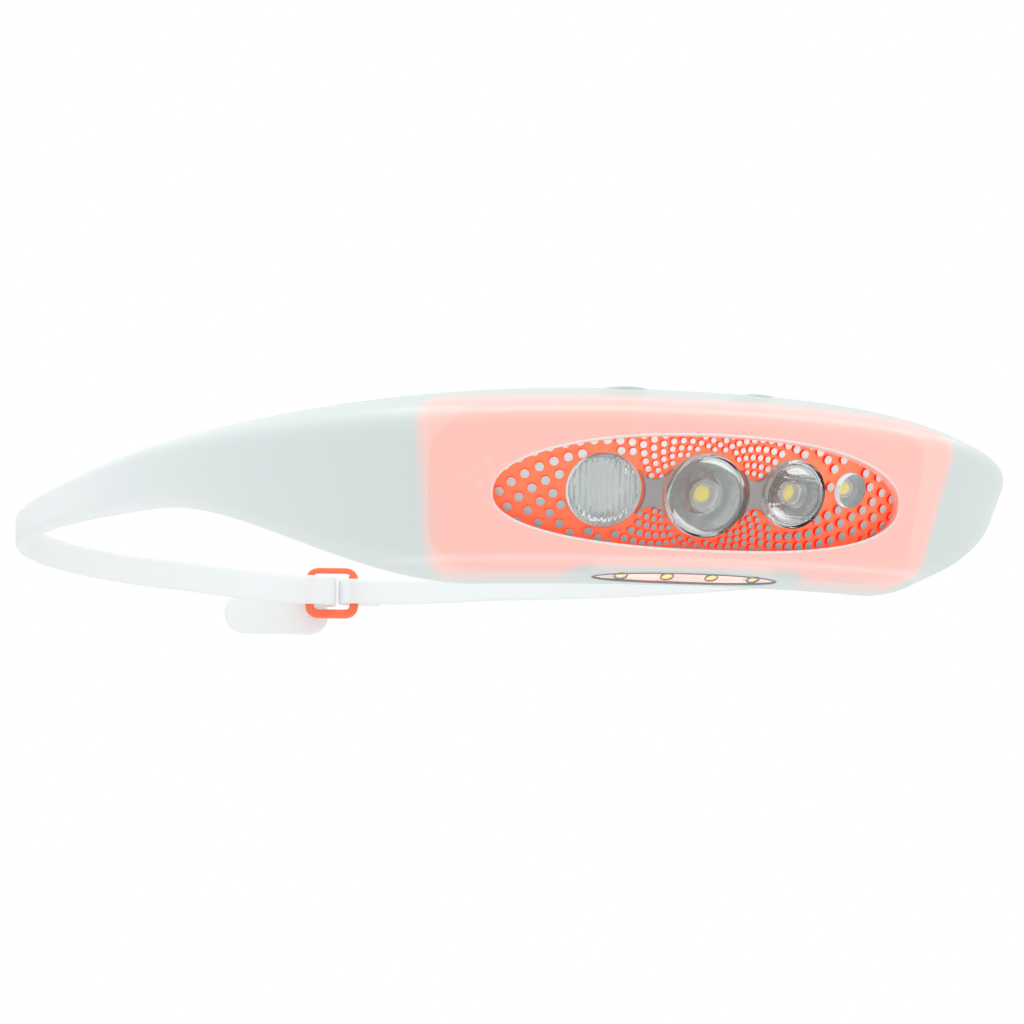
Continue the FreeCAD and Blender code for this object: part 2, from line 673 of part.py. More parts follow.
case_turn = turned("case_turn", core_outline(case_front, core_roof, case_floor, size("case_back")), WIDE_ANGLE)
case_block = front_block("case_block", size("case_half_width"), floor_height(size("case_back"), case_floor),
                         core_top, size("case_corner"))
case_blank = common("case_blank", [case_turn, case_block])
hollow_turn = turned("hollow_turn", core_outline(hollow_front, hollow_roof, hollow_floor, size("case_back") - 1), WIDE_ANGLE)
hollow_block = front_block("hollow_block", hollow_half_width, floor_height(size("case_back") - 1, hollow_floor),
                           hollow_top, hollow_corner)
hollow = common("hollow", [hollow_turn, hollow_block])


def panel_strip(name, outer, inner, low, high, half_angle):
    """A layer of the front panel between two insets and two heights."""
    points = [(panel_depth(low, inner), low), (panel_depth(low, outer), low),
              (panel_depth(high, outer), high), (panel_depth(high, inner), high)]
    return turned(name, points, half_angle)


def floor_strip(name, outer, inner, back, front, half_angle):
    """A layer of the lower bevel between two insets and two depths."""
    points = [(back, floor_height(back, outer)), (front, floor_height(front, outer)),
              (front, floor_height(front, inner)), (back, floor_height(back, inner))]
    return turned(name, points, half_angle)


LENSES = ("flood", "spot", "reading", "small")


def lens_spot(lens, inset):
    """A frame on a lens's axis, Z out of the panel, at an inset from the sleeve's face."""
    return panel_spot(size(f"{lens}_arc").value, size(f"{lens}_height").value, Size.of(inset).value)


panel_low = ridge_bottom - 3
panel_high = ridge_top + 3
seat = common("seat", [panel_strip("seat_strip", case_front - 1, plate_back, panel_low, panel_high, WIDE_ANGLE),
                       window_prism("seat_outline", size("plate_margin").value)])
panel_opening = window_prism("panel_opening", (size("plate_margin") - size("seat_ledge")).value)
plunger_holes = [cylinder(f"{name}_plunger_hole", size("plunger_radius") + size("plunger_gap"), THROUGH,
                          button_spot(arc, hollow_top.value - 1)) for name, arc in button_arcs.items()]


def screw_spot(arc_side, height, depth):
    """A frame on a cover screw's axis, Z towards the front of the lamp."""
    spot = core_spot(arc_side * size("screw_arc").value, depth.value, size(height).value)
    return spot.multiply(Placement(ORIGIN, Rotation(AXIS_Y, 90)))


SCREWS = [(side, height) for side in (-1, 1) for height in ("screw_high", "screw_low")]
bosses = [cylinder(f"boss_{n}", size("boss_radius"), THROUGH / 4, screw_spot(side, height, seal_front + 0.05))
          for n, (side, height) in enumerate(SCREWS)]
boss_field = common("boss_field", [fuse("boss_bars", bosses), case_blank])
screw_bores = [cylinder(f"screw_bore_{n}", size("screw_radius"), size("screw_long") + size("case_back"),
                        screw_spot(side, height, size("case_back"))) for n, (side, height) in enumerate(SCREWS)]
case_shell = cut("case_shell", case_blank, [hollow, seat, panel_opening, down_prism("case_down_opening", 0)] + plunger_holes)
front_case = cut("front_case_cut", fuse("case_with_bosses", [case_shell, boss_field]), [seat, panel_opening] + screw_bores)

lens_holes = [cylinder(f"{lens}_hole", size(f"{lens}_radius") + size("lens_gap"), 8.0, lens_spot(lens, plate_back + 3))
              for lens in LENSES]
plate_blank = common("plate_blank", [
    panel_strip("plate_strip", case_front, plate_back, panel_low, panel_high, WIDE_ANGLE),
    window_prism("plate_outline", (size("plate_margin") - size("plate_fit")).value)])
faceplate = cut("faceplate_cut", plate_blank, lens_holes)

# Back cover: a bent plate let into the case from behind, with the socket's opening and four screw holes.
lid_inset = hollow_floor + size("lid_gap")


def lid_layer(name, back, front, shrink):
    """A layer with the back cover's outline between two depths, its edge moved inwards by shrink."""
    low = lid_inset + shrink
    high = hollow_top - size("lid_gap") - shrink
    points = [(back, floor_height(back, low)), (front, floor_height(front, low)), (front, high), (back, high)]
    layer = turned(f"{name}_turn", points, WIDE_ANGLE)
    block = front_block(f"{name}_block", hollow_half_width - size("lid_gap") - shrink, floor_height(back, low), high,
                        hollow_corner - shrink)
    return common(f"{name}_layer", [layer, block])


socket_middle = core_top - size("main_board_drop") + size("socket_tall") / 2


def socket_box(name, grow, back, deep):
    """A box on the charging socket's axis, grown all round its mouth."""
    spot = core_spot(size("socket_arc").value, Size.of(back).value, socket_middle.value)
    half_wide = size("socket_wide") / 2 + grow
    half_tall = size("socket_tall") / 2 + grow
    corner = spot.multiply(Placement(Vector(0, -half_wide.value, -half_tall.value), Rotation()))
    made = bind(doc.addObject("Part::Box", name), Length=deep, Width=half_wide * 2, Height=half_tall * 2)
    made.Placement = corner
    return made


lid_plate = lid_layer("lid", size("case_back"), lid_front, Size.of(0))
head_seats = [cylinder(f"head_seat_{n}", size("screw_head") + size("lid_gap"), 0.6 + 1, screw_spot(side, height, size("case_back") - 1))
              for n, (side, height) in enumerate(SCREWS)]
back_cover = cut("back_cover_cut", lid_plate, [socket_box("socket_opening", size("lid_gap"), size("case_back") - 1, 4.0)]
                 + head_seats + screw_bores)
case_seal = cut("case_seal_cut", lid_layer("seal", lid_front, seal_front, Size.of(0)),
                [lid_layer("seal_inside", lid_front - 1, seal_front + 1, size("seal_width")),
                 socket_box("seal_notch", size("lid_gap"), size("case_back"), 4.0)])

# ---------------------------------------------------------------- optics and LEDs
lens_front = case_front - size("lens_proud")
beam_parts = []
for lens in ("spot", "reading"):
    rim_back = case_front + size("lens_rim")
    radius = size(f"{lens}_radius")
    beam_parts.append(cylinder(f"{lens}_rim", radius, rim_back - lens_front, lens_spot(lens, rim_back)))
    beam_parts.append(cone(f"{lens}_collimator", radius * size("lens_neck"), radius * 0.94, size("lens_tail") - size("lens_rim"),
                           lens_spot(lens, case_front + size("lens_tail"))))
beam_parts.append(cylinder("flood_disc", size("flood_radius"), size("lens_proud") + size("flat_tail"),
                           lens_spot("flood", case_front + size("flat_tail"))))


def lens_link(name, left, right):
    """A flat link over the faceplate from one lens into the next."""
    middle = (size(f"{left}_arc") + size(f"{right}_arc") + size(f"{left}_radius") - size(f"{right}_radius")) / 2
    height = (size(f"{left}_height") + size(f"{right}_height")) / 2
    length = size(f"{right}_arc") - size(f"{left}_arc") - size(f"{left}_radius") - size(f"{right}_radius") + 2.4
    spot = panel_spot(middle.value, height.value, (case_front - 0.1).value)
    return box(name, size("link_width"), length, size("link_thick"), spot)


beam_parts += [lens_link("flood_link", "flood", "spot"), lens_link("spot_link", "spot", "reading")]
triple_lens = fuse("triple_lens_fused", beam_parts)
small_lens = cylinder("small_lens_disc", size("small_radius"), size("lens_proud") + size("flat_tail"),
                      lens_spot("small", case_front + size("flat_tail")))

board_front = case_front + size("board_depth")
board_back = board_front + size("board_thick")
led_board = panel_strip("led_board_strip", board_front, board_back, size("board_low"), size("board_high"), size("board_angle"))
board_leds = {lens: box(f"{lens}_led_box", size("led_side"), size("led_side"), size("led_tall"), lens_spot(lens, board_front))
              for lens in LENSES}

# ---------------------------------------------------------------- down light
down_window = common("down_window_common", [
    floor_strip("down_window_strip", case_floor, hollow_floor, Size.of(0.2), size("down_depth") + size("down_half_width") + 1, WIDE_ANGLE),
    down_prism("down_window_outline", -size("plate_fit").value)])
down_board = floor_strip("down_board_strip", size("down_board_inset"), size("down_board_inset") + size("board_thick"),
                         size("down_board_back"), size("down_board_front"), size("board_angle") - 4)


def down_spot(arc, inset):
    """A frame over the lower bevel: Z down and out of the sleeve's floor, at an inset from its outer face."""
    height = floor_height(size("down_led_depth"), Size.of(inset)).value
    tilt = math.degrees(math.atan(floor_rise.value))
    return core_spot(arc, size("down_led_depth").value, height).multiply(Placement(ORIGIN, Rotation(AXIS_Y, 180 - tilt)))


down_leds = group("down_led_group", [
    box(f"down_led_{n}", size("down_led_side"), size("down_led_side"), size("down_led_tall"),
        down_spot(size("down_arc").value + (n - 1.5) * size("down_led_pitch").value, size("down_board_inset") - 0.05))
    for n in range(4)])

# ---------------------------------------------------------------- boards, switches, socket, cells
board_top = core_top - size("main_board_drop")
main_board = turned("main_board_turn", [
    (size("main_board_back"), board_top - size("board_thick")), (size("main_board_front"), board_top - size("board_thick")),
    (size("main_board_front"), board_top), (size("main_board_back"), board_top)], size("main_board_angle"))
ribbon_inset = board_front - size("ribbon_thick") - 0.05
board_ribbon = panel_strip("board_ribbon_strip", ribbon_inset, ribbon_inset + size("ribbon_thick"), size("board_high") - 1.2,
                           board_top - size("board_thick") - 0.02, size("ribbon_angle"))

flange_top = hollow_top - size("flange_gap")
flange_low = flange_top - size("plunger_flange")
plungers = {}
switches = {}
stems = {}
for name, arc in button_arcs.items():
    post = cylinder(f"{name}_plunger_post", size("plunger_radius"), core_top + size("plunger_proud") - flange_low,
                    button_spot(arc, flange_low.value))
    flange = cylinder(f"{name}_plunger_flange", size("flange_radius"), size("plunger_flange"), button_spot(arc, flange_low.value))
    plungers[name] = fuse(f"{name}_plunger_fused", [post, flange])
    stem_low = board_top + size("press_travel") + 0.2
    stem_top = flange_low - 0.02
    stems[name] = cylinder(f"{name}_stem_post", size("stem_radius"), stem_top - stem_low, button_spot(arc, stem_low.value))
    body = box(f"{name}_switch_box", size("switch_side"), size("switch_side"), size("switch_tall"), button_spot(arc, board_top.value))
    bore = cylinder(f"{name}_switch_bore", size("stem_radius") + 0.05, THROUGH, button_spot(arc, (board_top + 0.15).value))
    switches[name] = cut(f"{name}_switch_cut", body, [bore])

socket_back = size("case_back") + 0.1
socket_hollow = socket_box("socket_hollow", -size("socket_wall"), socket_back - 1, size("socket_deep"))
socket_shell = cut("socket_shell_cut", socket_box("socket_block", Size.of(0), socket_back, size("socket_deep")), [socket_hollow])
tongue_spot = core_spot(size("socket_arc").value, (socket_back + 1).value, (socket_middle - 0.35).value)
socket_tongue = box("socket_tongue_box", size("socket_deep") - 2, size("socket_wide") - 2.3, 0.7,
                    tongue_spot.multiply(Placement(Vector((size("socket_deep").value - 2) / 2, 0, 0), Rotation())))


def cell(name, side):
    """A flat battery cell standing parallel to the front wall."""
    arc = side * size("cell_angle").value * math.pi / 180 * bend_radius.value
    spot = panel_spot(arc, size("cell_height").value, (hollow_front + size("cell_gap") + size("cell_deep")).value)
    return box(name, size("cell_tall"), size("cell_wide"), size("cell_deep"), spot)


cells = {"left": cell("left_cell_box", -1), "right": cell("right_cell_box", 1)}
doc.recompute()


def lead_run(start, end):
    return Part.makeCylinder(size("lead_radius").value, (end - start).Length, start, end - start)


def battery_lead(side):
    """A lead from a cell's top edge up over the screw boss and down to the main board."""
    cell_top = cells["left"].Shape.BoundBox.ZMax
    radius = size("lead_radius").value
    cell_arc = side * (size("cell_angle").value * math.pi / 180 * bend_radius.value - 1.5)
    board_arc = side * (size("main_board_angle").value * math.pi / 180 * bend_radius.value - 1.5)
    depth = size("lead_depth").value
    corners = [core_spot(cell_arc, depth, cell_top + 0.1).Base, core_spot(cell_arc, depth, size("lead_height").value).Base,
               core_spot(board_arc, depth, size("lead_height").value).Base, core_spot(board_arc, depth, board_top.value + 0.02).Base]
    runs = [lead_run(start, end) for start, end in zip(corners, corners[1:])]
    return runs[0].fuse(runs[1:] + [Part.makeSphere(radius, corner) for corner in corners[1:3]])


battery_leads = solid("battery_lead_pair", Part.makeCompound([battery_lead(-1), battery_lead(1)]))

cover_screws = group("cover_screw_group", [
    fuse(f"screw_{n}", [
        cylinder(f"screw_head_{n}", size("screw_head"), 0.5, screw_spot(side, height, size("case_back") + 0.05)),
        cylinder(f"screw_thread_{n}", size("screw_radius") - 0.02, size("screw_long") - 0.2,
                 screw_spot(side, height, size("case_back") + 0.1))])
    for n, (side, height) in enumerate(SCREWS)])


# ---------------------------------------------------------------- buckle
def buckle_ring():
    """A round-barred ring with rounded corners, standing across the strap ends."""
    half_x = (size("ring_width").value - size("ring_bar").value) / 2
    half_z = (size("ring_height").value - size("ring_bar").value) / 2
    corner = size("ring_corner").value
    lines, arcs = [], []
    for n in range(4):
        flat = Placement(ORIGIN, Rotation(AXIS_Y, 90 * n))
        near, far = (half_x, half_z) if n % 2 == 0 else (half_z, half_x)
        top = flat.multVec(Vector(-(near - corner), 0, far)), flat.multVec(Vector(near - corner, 0, far))
        lines.append(Part.makeLine(*top))
        bend = [Vector(near - corner * (1 - math.sin(turn)), 0, far - corner * (1 - math.cos(turn)))
                for turn in (0, math.pi / 4, math.pi / 2)]
        arcs.append(Part.Arc(*[flat.multVec(point) for point in bend]).toShape())
    path = Part.Wire(Part.__sortEdges__(lines + arcs))
    start = path.OrderedVertexes[0].Point
    circle = Part.Wire(Part.makeCircle(size("ring_bar").value / 2, Vector(0, 0, half_z), AXIS_X))
    return path, circle, start


path, circle, start = buckle_ring()
ring_shape = path.makePipeShell([circle], True, True)
ring_turn = math.degrees(math.atan2(right_bar_y - left_bar_y, right_bar_x - left_bar_x))
buckle = solid("buckle_ring_pipe", ring_shape, Placement(
    Vector((left_bar_x + right_bar_x) / 2, (left_bar_y + right_bar_y) / 2, -size("ring_drop").value),
    Rotation(AXIS_Z, ring_turn)))

# ---------------------------------------------------------------- nodes
NODES = {
    "silicone_headband": headband,
    "mode_button_pad": pads["mode"],
    "power_button_pad": pads["power"],
    "buckle_ring": buckle,
    "front_case": front_case,
    "faceplate": faceplate,
    "back_cover": back_cover,
    "case_seal": case_seal,
    "cover_screws": cover_screws,
    "triple_lens": triple_lens,
    "small_lens": small_lens,
    "led_board": led_board,
    "flood_led": board_leds["flood"],
    "spot_led": board_leds["spot"],
    "reading_led": board_leds["reading"],
    "small_led": board_leds["small"],
    "down_light_window": down_window,
    "down_light_board": down_board,
    "down_light_leds": down_leds,
    "main_board": main_board,
    "board_ribbon": board_ribbon,
    "mode_plunger": plungers["mode"],
    "power_plunger": plungers["power"],
    "mode_switch": switches["mode"],
    "power_switch": switches["power"],
    "mode_switch_stem": stems["mode"],
    "power_switch_stem": stems["power"],
    "charge_socket_shell": socket_shell,
    "charge_socket_tongue": socket_tongue,
    "left_battery_cell": cells["left"],
    "right_battery_cell": cells["right"],
    "battery_leads": battery_leads,
}

doc.recompute()
for thing in doc.Objects:
    if "Invalid" in thing.State or "Error" in thing.State:
        raise RuntimeError(f"{thing.Name} did not recompute")
os.makedirs("parts", exist_ok=True)
for node, thing in NODES.items():
    thing.Label = node
    if thing.Shape.isNull() or not thing.Shape.isValid():
        raise RuntimeError(f"{node} has no valid shape")
    thing.Shape.exportStep(f"parts/{node}.step")
    print(f"{node}: {thing.Shape.Volume:.1f} mm3, {len(thing.Shape.Solids)} solids")
print(f"bars: left ({left_bar_x:.2f}, {left_bar_y:.2f}), right ({right_bar_x:.2f}, {right_bar_y:.2f})")
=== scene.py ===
import logging
import math
from dataclasses import dataclass
from enum import Enum

import bmesh
import bpy
import numpy as np
from mathutils import Matrix, Vector


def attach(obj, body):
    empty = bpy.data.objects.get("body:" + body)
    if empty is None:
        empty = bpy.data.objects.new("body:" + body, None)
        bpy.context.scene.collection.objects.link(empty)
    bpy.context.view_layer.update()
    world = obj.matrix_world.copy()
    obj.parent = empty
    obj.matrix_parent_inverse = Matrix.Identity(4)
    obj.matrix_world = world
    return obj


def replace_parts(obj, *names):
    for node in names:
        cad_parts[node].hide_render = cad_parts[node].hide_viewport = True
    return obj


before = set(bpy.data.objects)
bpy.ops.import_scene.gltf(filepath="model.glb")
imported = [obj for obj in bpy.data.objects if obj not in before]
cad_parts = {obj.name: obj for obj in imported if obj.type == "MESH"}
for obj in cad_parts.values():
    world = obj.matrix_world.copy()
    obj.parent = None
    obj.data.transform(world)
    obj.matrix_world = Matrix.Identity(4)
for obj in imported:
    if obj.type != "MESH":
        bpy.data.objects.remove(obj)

LOG = logging.getLogger("headlamp")
MM = 0.001
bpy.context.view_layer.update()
Colour = tuple[float, float, float]


def linear(red: int, green: int, blue: int) -> Colour:
    """Turn an 8-bit display colour into scene colour.

    Args:
        red: Red, 0 to 255.
        green: Green, 0 to 255.
        blue: Blue, 0 to 255.

    Returns:
        The linear colour.
    """

    def channel(level: int) -> float:
        """One channel made linear.

        Args:
            level: One display level, 0 to 255.

        Returns:
            The value.
        """
        share = level / 255
        return share / 12.92 if share <= 0.04045 else ((share + 0.055) / 1.055) ** 2.4

    return channel(red), channel(green), channel(blue)


# ---------------------------------------------------------------- shapes
@dataclass(frozen=True)
class Sleeve:
    """Sizes of the band, in millimetres, and the formulas that shape it."""

    half_width: float = 86.25
    half_depth: float = 98.75
    strap_height: float = 6.04
    strap_thick: float = 2.4
    strap_edge: float = 0.5
    strap_dip: float = 1.0
    dip_run: float = 30.0
    top: float = 11.3
    bottom: float = 17.15
    top_drop: float = 4.4
    bottom_rise: float = 3.3
    depth_top: float = 15.0
    depth_bottom: float = 7.8
    top_flat: float = 8.0
    top_taper: tuple[float, float] = (12.9, 133.2)
    bottom_taper: tuple[float, float] = (32.0, 56.0)
    depth_taper: tuple[float, float] = (30.0, 92.0)
    skin: float = 2.0
    flare: float = 0.45
    flare_run: float = 90.0

    @property
    def bend_radius(self) -> float:
        """Radius of the forehead bend."""
        return self.half_width**2 / self.half_depth

    @property
    def bend_centre(self) -> float:
        """Where the bend's upright axis stands, along Y."""
        return self.bend_radius - self.half_depth

    @property
    def lean(self) -> float:
        """Depth gained per height along the front panel."""
        rise = self.top - self.top_drop + self.bottom - self.bottom_rise
        return (self.depth_top - self.depth_bottom) / rise

    @property
    def pitch(self) -> float:
        """Angle of the front panel's lean."""
        return math.atan(self.lean)

    def ridge_low(self) -> float:
        """Height of the lower ridge."""
        return self.bottom_rise - self.bottom

    def bent(self, arc: float, depth: float, height: float) -> np.ndarray:
        """Place a point by arc off the centre, depth and height.

        Args:
            arc: Arc off the centre along the loop's inner face.
            depth: Distance out of the inner face.
            height: Height over the strap's middle.

        Returns:
            The point in millimetres.
        """
        angle = arc / self.bend_radius
        reach = self.bend_radius + depth
        return np.array([reach * math.sin(angle), self.bend_centre - reach * math.cos(angle), height])

    def panel_frame(self, arc: float, height: float, out: float) -> Matrix:
        """Frame on the leaning front panel, Z out of it and X along it.

        Args:
            arc: Arc off the centre.
            height: Height of the frame on the sleeve's face.
            out: Distance out of the sleeve's face.

        Returns:
            The frame, in millimetres.
        """
        angle = arc / self.bend_radius
        radial = Vector((math.sin(angle), -math.cos(angle), 0))
        along = Vector((math.cos(angle), math.sin(angle), 0))
        rise = radial * math.sin(self.pitch) + Vector((0, 0, math.cos(self.pitch)))
        normal = radial * math.cos(self.pitch) - Vector((0, 0, math.sin(self.pitch)))
        depth = self.depth_bottom + (height - self.ridge_low()) * self.lean
        spot = Vector(self.bent(arc, depth, height)) + normal * out
        axes = Matrix((along, rise, normal)).transposed().to_4x4()
        return Matrix.Translation(spot) @ axes

    def floor_point(self, arc: float, depth: float, inset: float) -> np.ndarray:
        """Point of the lower bevel, moved inwards by inset.

        Args:
            arc: Arc off the centre, in millimetres.
            depth: Distance out of the inner face.
            inset: Distance inwards from the face.

        Returns:
            The points.
        """
        rise = self.bottom_rise / self.depth_bottom
        height = depth * rise - self.bottom + inset * math.hypot(1, rise)
        return self.bent(arc, depth, height)

    def taper(self, arc: float, limits: tuple[float, float]) -> float:
        """1 at the lamp, 0 where the band has become the strap.

        Args:
            arc: Arc off the centre, in millimetres.
            limits: Arc where the change starts, and its length.

        Returns:
            The value.
        """
        return 1 - eased((abs(arc) - limits[0]) / limits[1])

    def corners(self, arc: float, flare: float) -> list[tuple[float, float]]:
        """Corners of the band's section at an arc, as (depth, height) pairs, the strap grown by flare.

        Args:
            arc: Arc off the centre, in millimetres.
            flare: Growth of the strap's half height.

        Returns:
            The (arc, depth) or (depth, height) pairs.
        """
        half = self.strap_height / 2 + flare
        depth_share = self.taper(arc, self.depth_taper)
        top = half + (self.top - half) * self.taper(arc, self.top_taper)
        bottom = -half - (self.bottom - half) * self.taper(arc, self.bottom_taper)
        fullness = (top - bottom - 2 * half) / (self.top + self.bottom - 2 * half)
        drop = self.strap_edge + (self.top_drop - self.strap_edge) * fullness
        rise = self.strap_edge + (self.bottom_rise - self.strap_edge) * fullness
        front = self.strap_thick + (self.depth_top - self.strap_thick) * depth_share
        low_front = self.strap_thick + (self.depth_bottom - self.strap_thick) * depth_share
        flat = self.strap_thick - self.strap_edge
        flat += (self.top_flat - flat) * depth_share
        return [(0, bottom), (low_front, bottom + rise), (front, top - drop), (flat, top), (0, top)]


def eased(amount: float) -> float:
    """0 to 1 along a soft S.

    Args:
        amount: Share of the way, 0 to 1.

    Returns:
        The value.
    """
    held = min(1.0, max(0.0, amount))
    return held * held * (3 - 2 * held)


SLEEVE = Sleeve()


class LoopLine:
    """The loop's inner oval, measured by arc from the forehead."""

    def __init__(self, shape: Sleeve) -> None:
        """Measure the oval.

        Args:
            shape: The band's sizes.
        """
        turn = np.linspace(0, math.pi, 8001)
        self.shape = shape
        self.x = shape.half_width * np.sin(turn)
        self.y = -shape.half_depth * np.cos(turn)
        steps = np.hypot(np.diff(self.x), np.diff(self.y))
        self.arcs = np.concatenate([[0], np.cumsum(steps)])
        self.half = float(self.arcs[-1])

    def spot(self, arc: float) -> tuple[np.ndarray, np.ndarray]:
        """Point and outward direction at an arc, plus to the right.

        Args:
            arc: Arc off the centre, in millimetres.

        Returns:
            The point and the direction.
        """
        reach = min(abs(arc), self.half)
        side = 1 if arc >= 0 else -1
        x = float(np.interp(reach, self.arcs, self.x))
        y = float(np.interp(reach, self.arcs, self.y))
        out = np.array([x / self.shape.half_width**2, y / self.shape.half_depth**2])
        out /= np.linalg.norm(out)
        return np.array([x * side, y]), np.array([out[0] * side, out[1]])


def rounded(corners: list[tuple[float, float]], radii: list[float], bend: int,
            edges: list[int]) -> np.ndarray:
    """Round the corners of a polygon and divide its edges, always into the same number of points.

    Args:
        corners: The polygon.
        radii: Radius wanted at each corner.
        bend: Points per corner.
        edges: Extra points on the edge after each corner.

    Returns:
        The outline's points.
    """
    count = len(corners)
    spots = [np.array(c, float) for c in corners]
    rings = []
    for n in range(count):
        here, before, after = spots[n], spots[n - 1], spots[(n + 1) % count]
        back, ahead = before - here, after - here
        reach = min(radii[n], 0.45 * np.linalg.norm(back), 0.45 * np.linalg.norm(ahead))
        start = here + back / np.linalg.norm(back) * reach
        end = here + ahead / np.linalg.norm(ahead) * reach
        share = np.linspace(0, 1, bend)[:, None]
        rings.append((1 - share) ** 2 * start + 2 * share * (1 - share) * here + share**2 * end)
    points = []
    for n in range(count):
        points.append(rings[n])
        share = np.linspace(0, 1, edges[n] + 2)[1:-1, None]
        points.append(rings[n][-1] * (1 - share) + rings[(n + 1) % count][0] * share)
    return np.vstack(points)


def grid_faces(rows: int, columns: int, closed_rows: bool = False) -> list[tuple[int, ...]]:
    """Faces of a grid whose columns close on themselves.

    Args:
        rows: Rows of points.
        columns: Points in a row.
        closed_rows: Whether the last row joins the first.

    Returns:
        The faces.
    """
    faces = []
    for row in range(rows if closed_rows else rows - 1):
        for column in range(columns):
            nxt = (column + 1) % columns
            low, high = row * columns, ((row + 1) % rows) * columns
            faces.append((low + column, high + column, high + nxt, low + nxt))
    return faces


def make(name: str, points: np.ndarray, faces: list[tuple[int, ...]],
         smooth: float = 40.0) -> bpy.types.Object:
    """Make a mesh object from points in millimetres.

    Args:
        name: Name of the piece.
        points: Points in millimetres.
        faces: Corner numbers of each face.
        smooth: Edges sharper than this many degrees stay sharp.

    Returns:
        The object, linked to the scene.
    """
    mesh = bpy.data.meshes.new(name)
    mesh.from_pydata([tuple(p) for p in np.asarray(points, float) * MM], [], faces)
    mesh.validate()
    made = bpy.data.objects.new(name, mesh)
    bpy.context.scene.collection.objects.link(made)
    outward(made)
    soften(made, smooth)
    return made


def outward(made: bpy.types.Object) -> bpy.types.Object:
    """Turn every face of a closed mesh outwards.

    Args:
        made: The mesh object.

    Returns:
        The piece.
    """
    work = bmesh.new()
    work.from_mesh(made.data)
    bmesh.ops.recalc_face_normals(work, faces=work.faces)
    work.to_mesh(made.data)
    work.free()
    return made


def soften(made: bpy.types.Object, degrees: float) -> None:
    """Shade smooth, leaving edges sharper than an angle.

    Args:
        made: The mesh object.
        degrees: Angle above which an edge stays sharp.
    """
    made.data.polygons.foreach_set("use_smooth", [True] * len(made.data.polygons))
    made.data.set_sharp_from_angle(angle=math.radians(degrees))


def revolved(profile: list[tuple[float, float]], segments: int) -> tuple[np.ndarray, list[tuple[int, ...]]]:
    """Turn a closed (radius, height) profile, from axis to axis, round Z.

    Args:
        profile: The (radius, height) points.
        segments: Steps round the axis.

    Returns:
        The points and faces.
    """
    turn = np.linspace(0, 2 * math.pi, segments, endpoint=False)
    body = [p for p in profile if p[0] > 1e-6]
    points = [np.column_stack([r * np.cos(turn), r * np.sin(turn), np.full(segments, z)]) for r, z in body]
    faces = grid_faces(len(body), segments)
    stacked = np.vstack(points)
    for spot, row in ((profile[0], 0), (profile[-1], len(body) - 1)):
        if spot[0] <= 1e-6:
            stacked = np.vstack([stacked, [0, 0, spot[1]]])
            centre = len(stacked) - 1
            ring = row * segments
            faces += [(centre, ring + (n + 1) % segments, ring + n) for n in range(segments)]
    return stacked, faces


def placed(points: np.ndarray, place: Matrix) -> np.ndarray:
    """Move local points by a frame.

    Args:
        points: The local points.
        place: Frame of the piece, in millimetres.

    Returns:
        The points.
    """
    turn = np.array(place.to_3x3())
    return np.asarray(points) @ turn.T + np.array(place.translation)


def carve(base: bpy.types.Object, tool: bpy.types.Object, way: str) -> None:
    """Apply a boolean and remove its tool.

    Args:
        base: The object that is changed.
        tool: The other object.
        way: DIFFERENCE, UNION or INTERSECT.
    """
    change = base.modifiers.new("carve", "BOOLEAN")
    change.operation = way
    change.solver = "EXACT"
    change.object = tool
    depsgraph = bpy.context.evaluated_depsgraph_get()
    mesh = bpy.data.meshes.new_from_object(base.evaluated_get(depsgraph))
    base.modifiers.remove(change)
    base.data = mesh
    bpy.data.objects.remove(tool)


def prism(name: str, outline: np.ndarray, start: np.ndarray, end: np.ndarray) -> bpy.types.Object:
    """A prism whose two ends are an outline moved by two offsets.

    Args:
        name: Name of the piece.
        outline: The outline.
        start: Offset of the first end.
        end: Offset of the second end.

    Returns:
        The piece.
    """
    count = len(outline)
    points = np.vstack([outline + start, outline + end])
    faces = grid_faces(2, count) + [tuple(range(count))[::-1], tuple(range(count, 2 * count))]
    return make(name, points, faces)


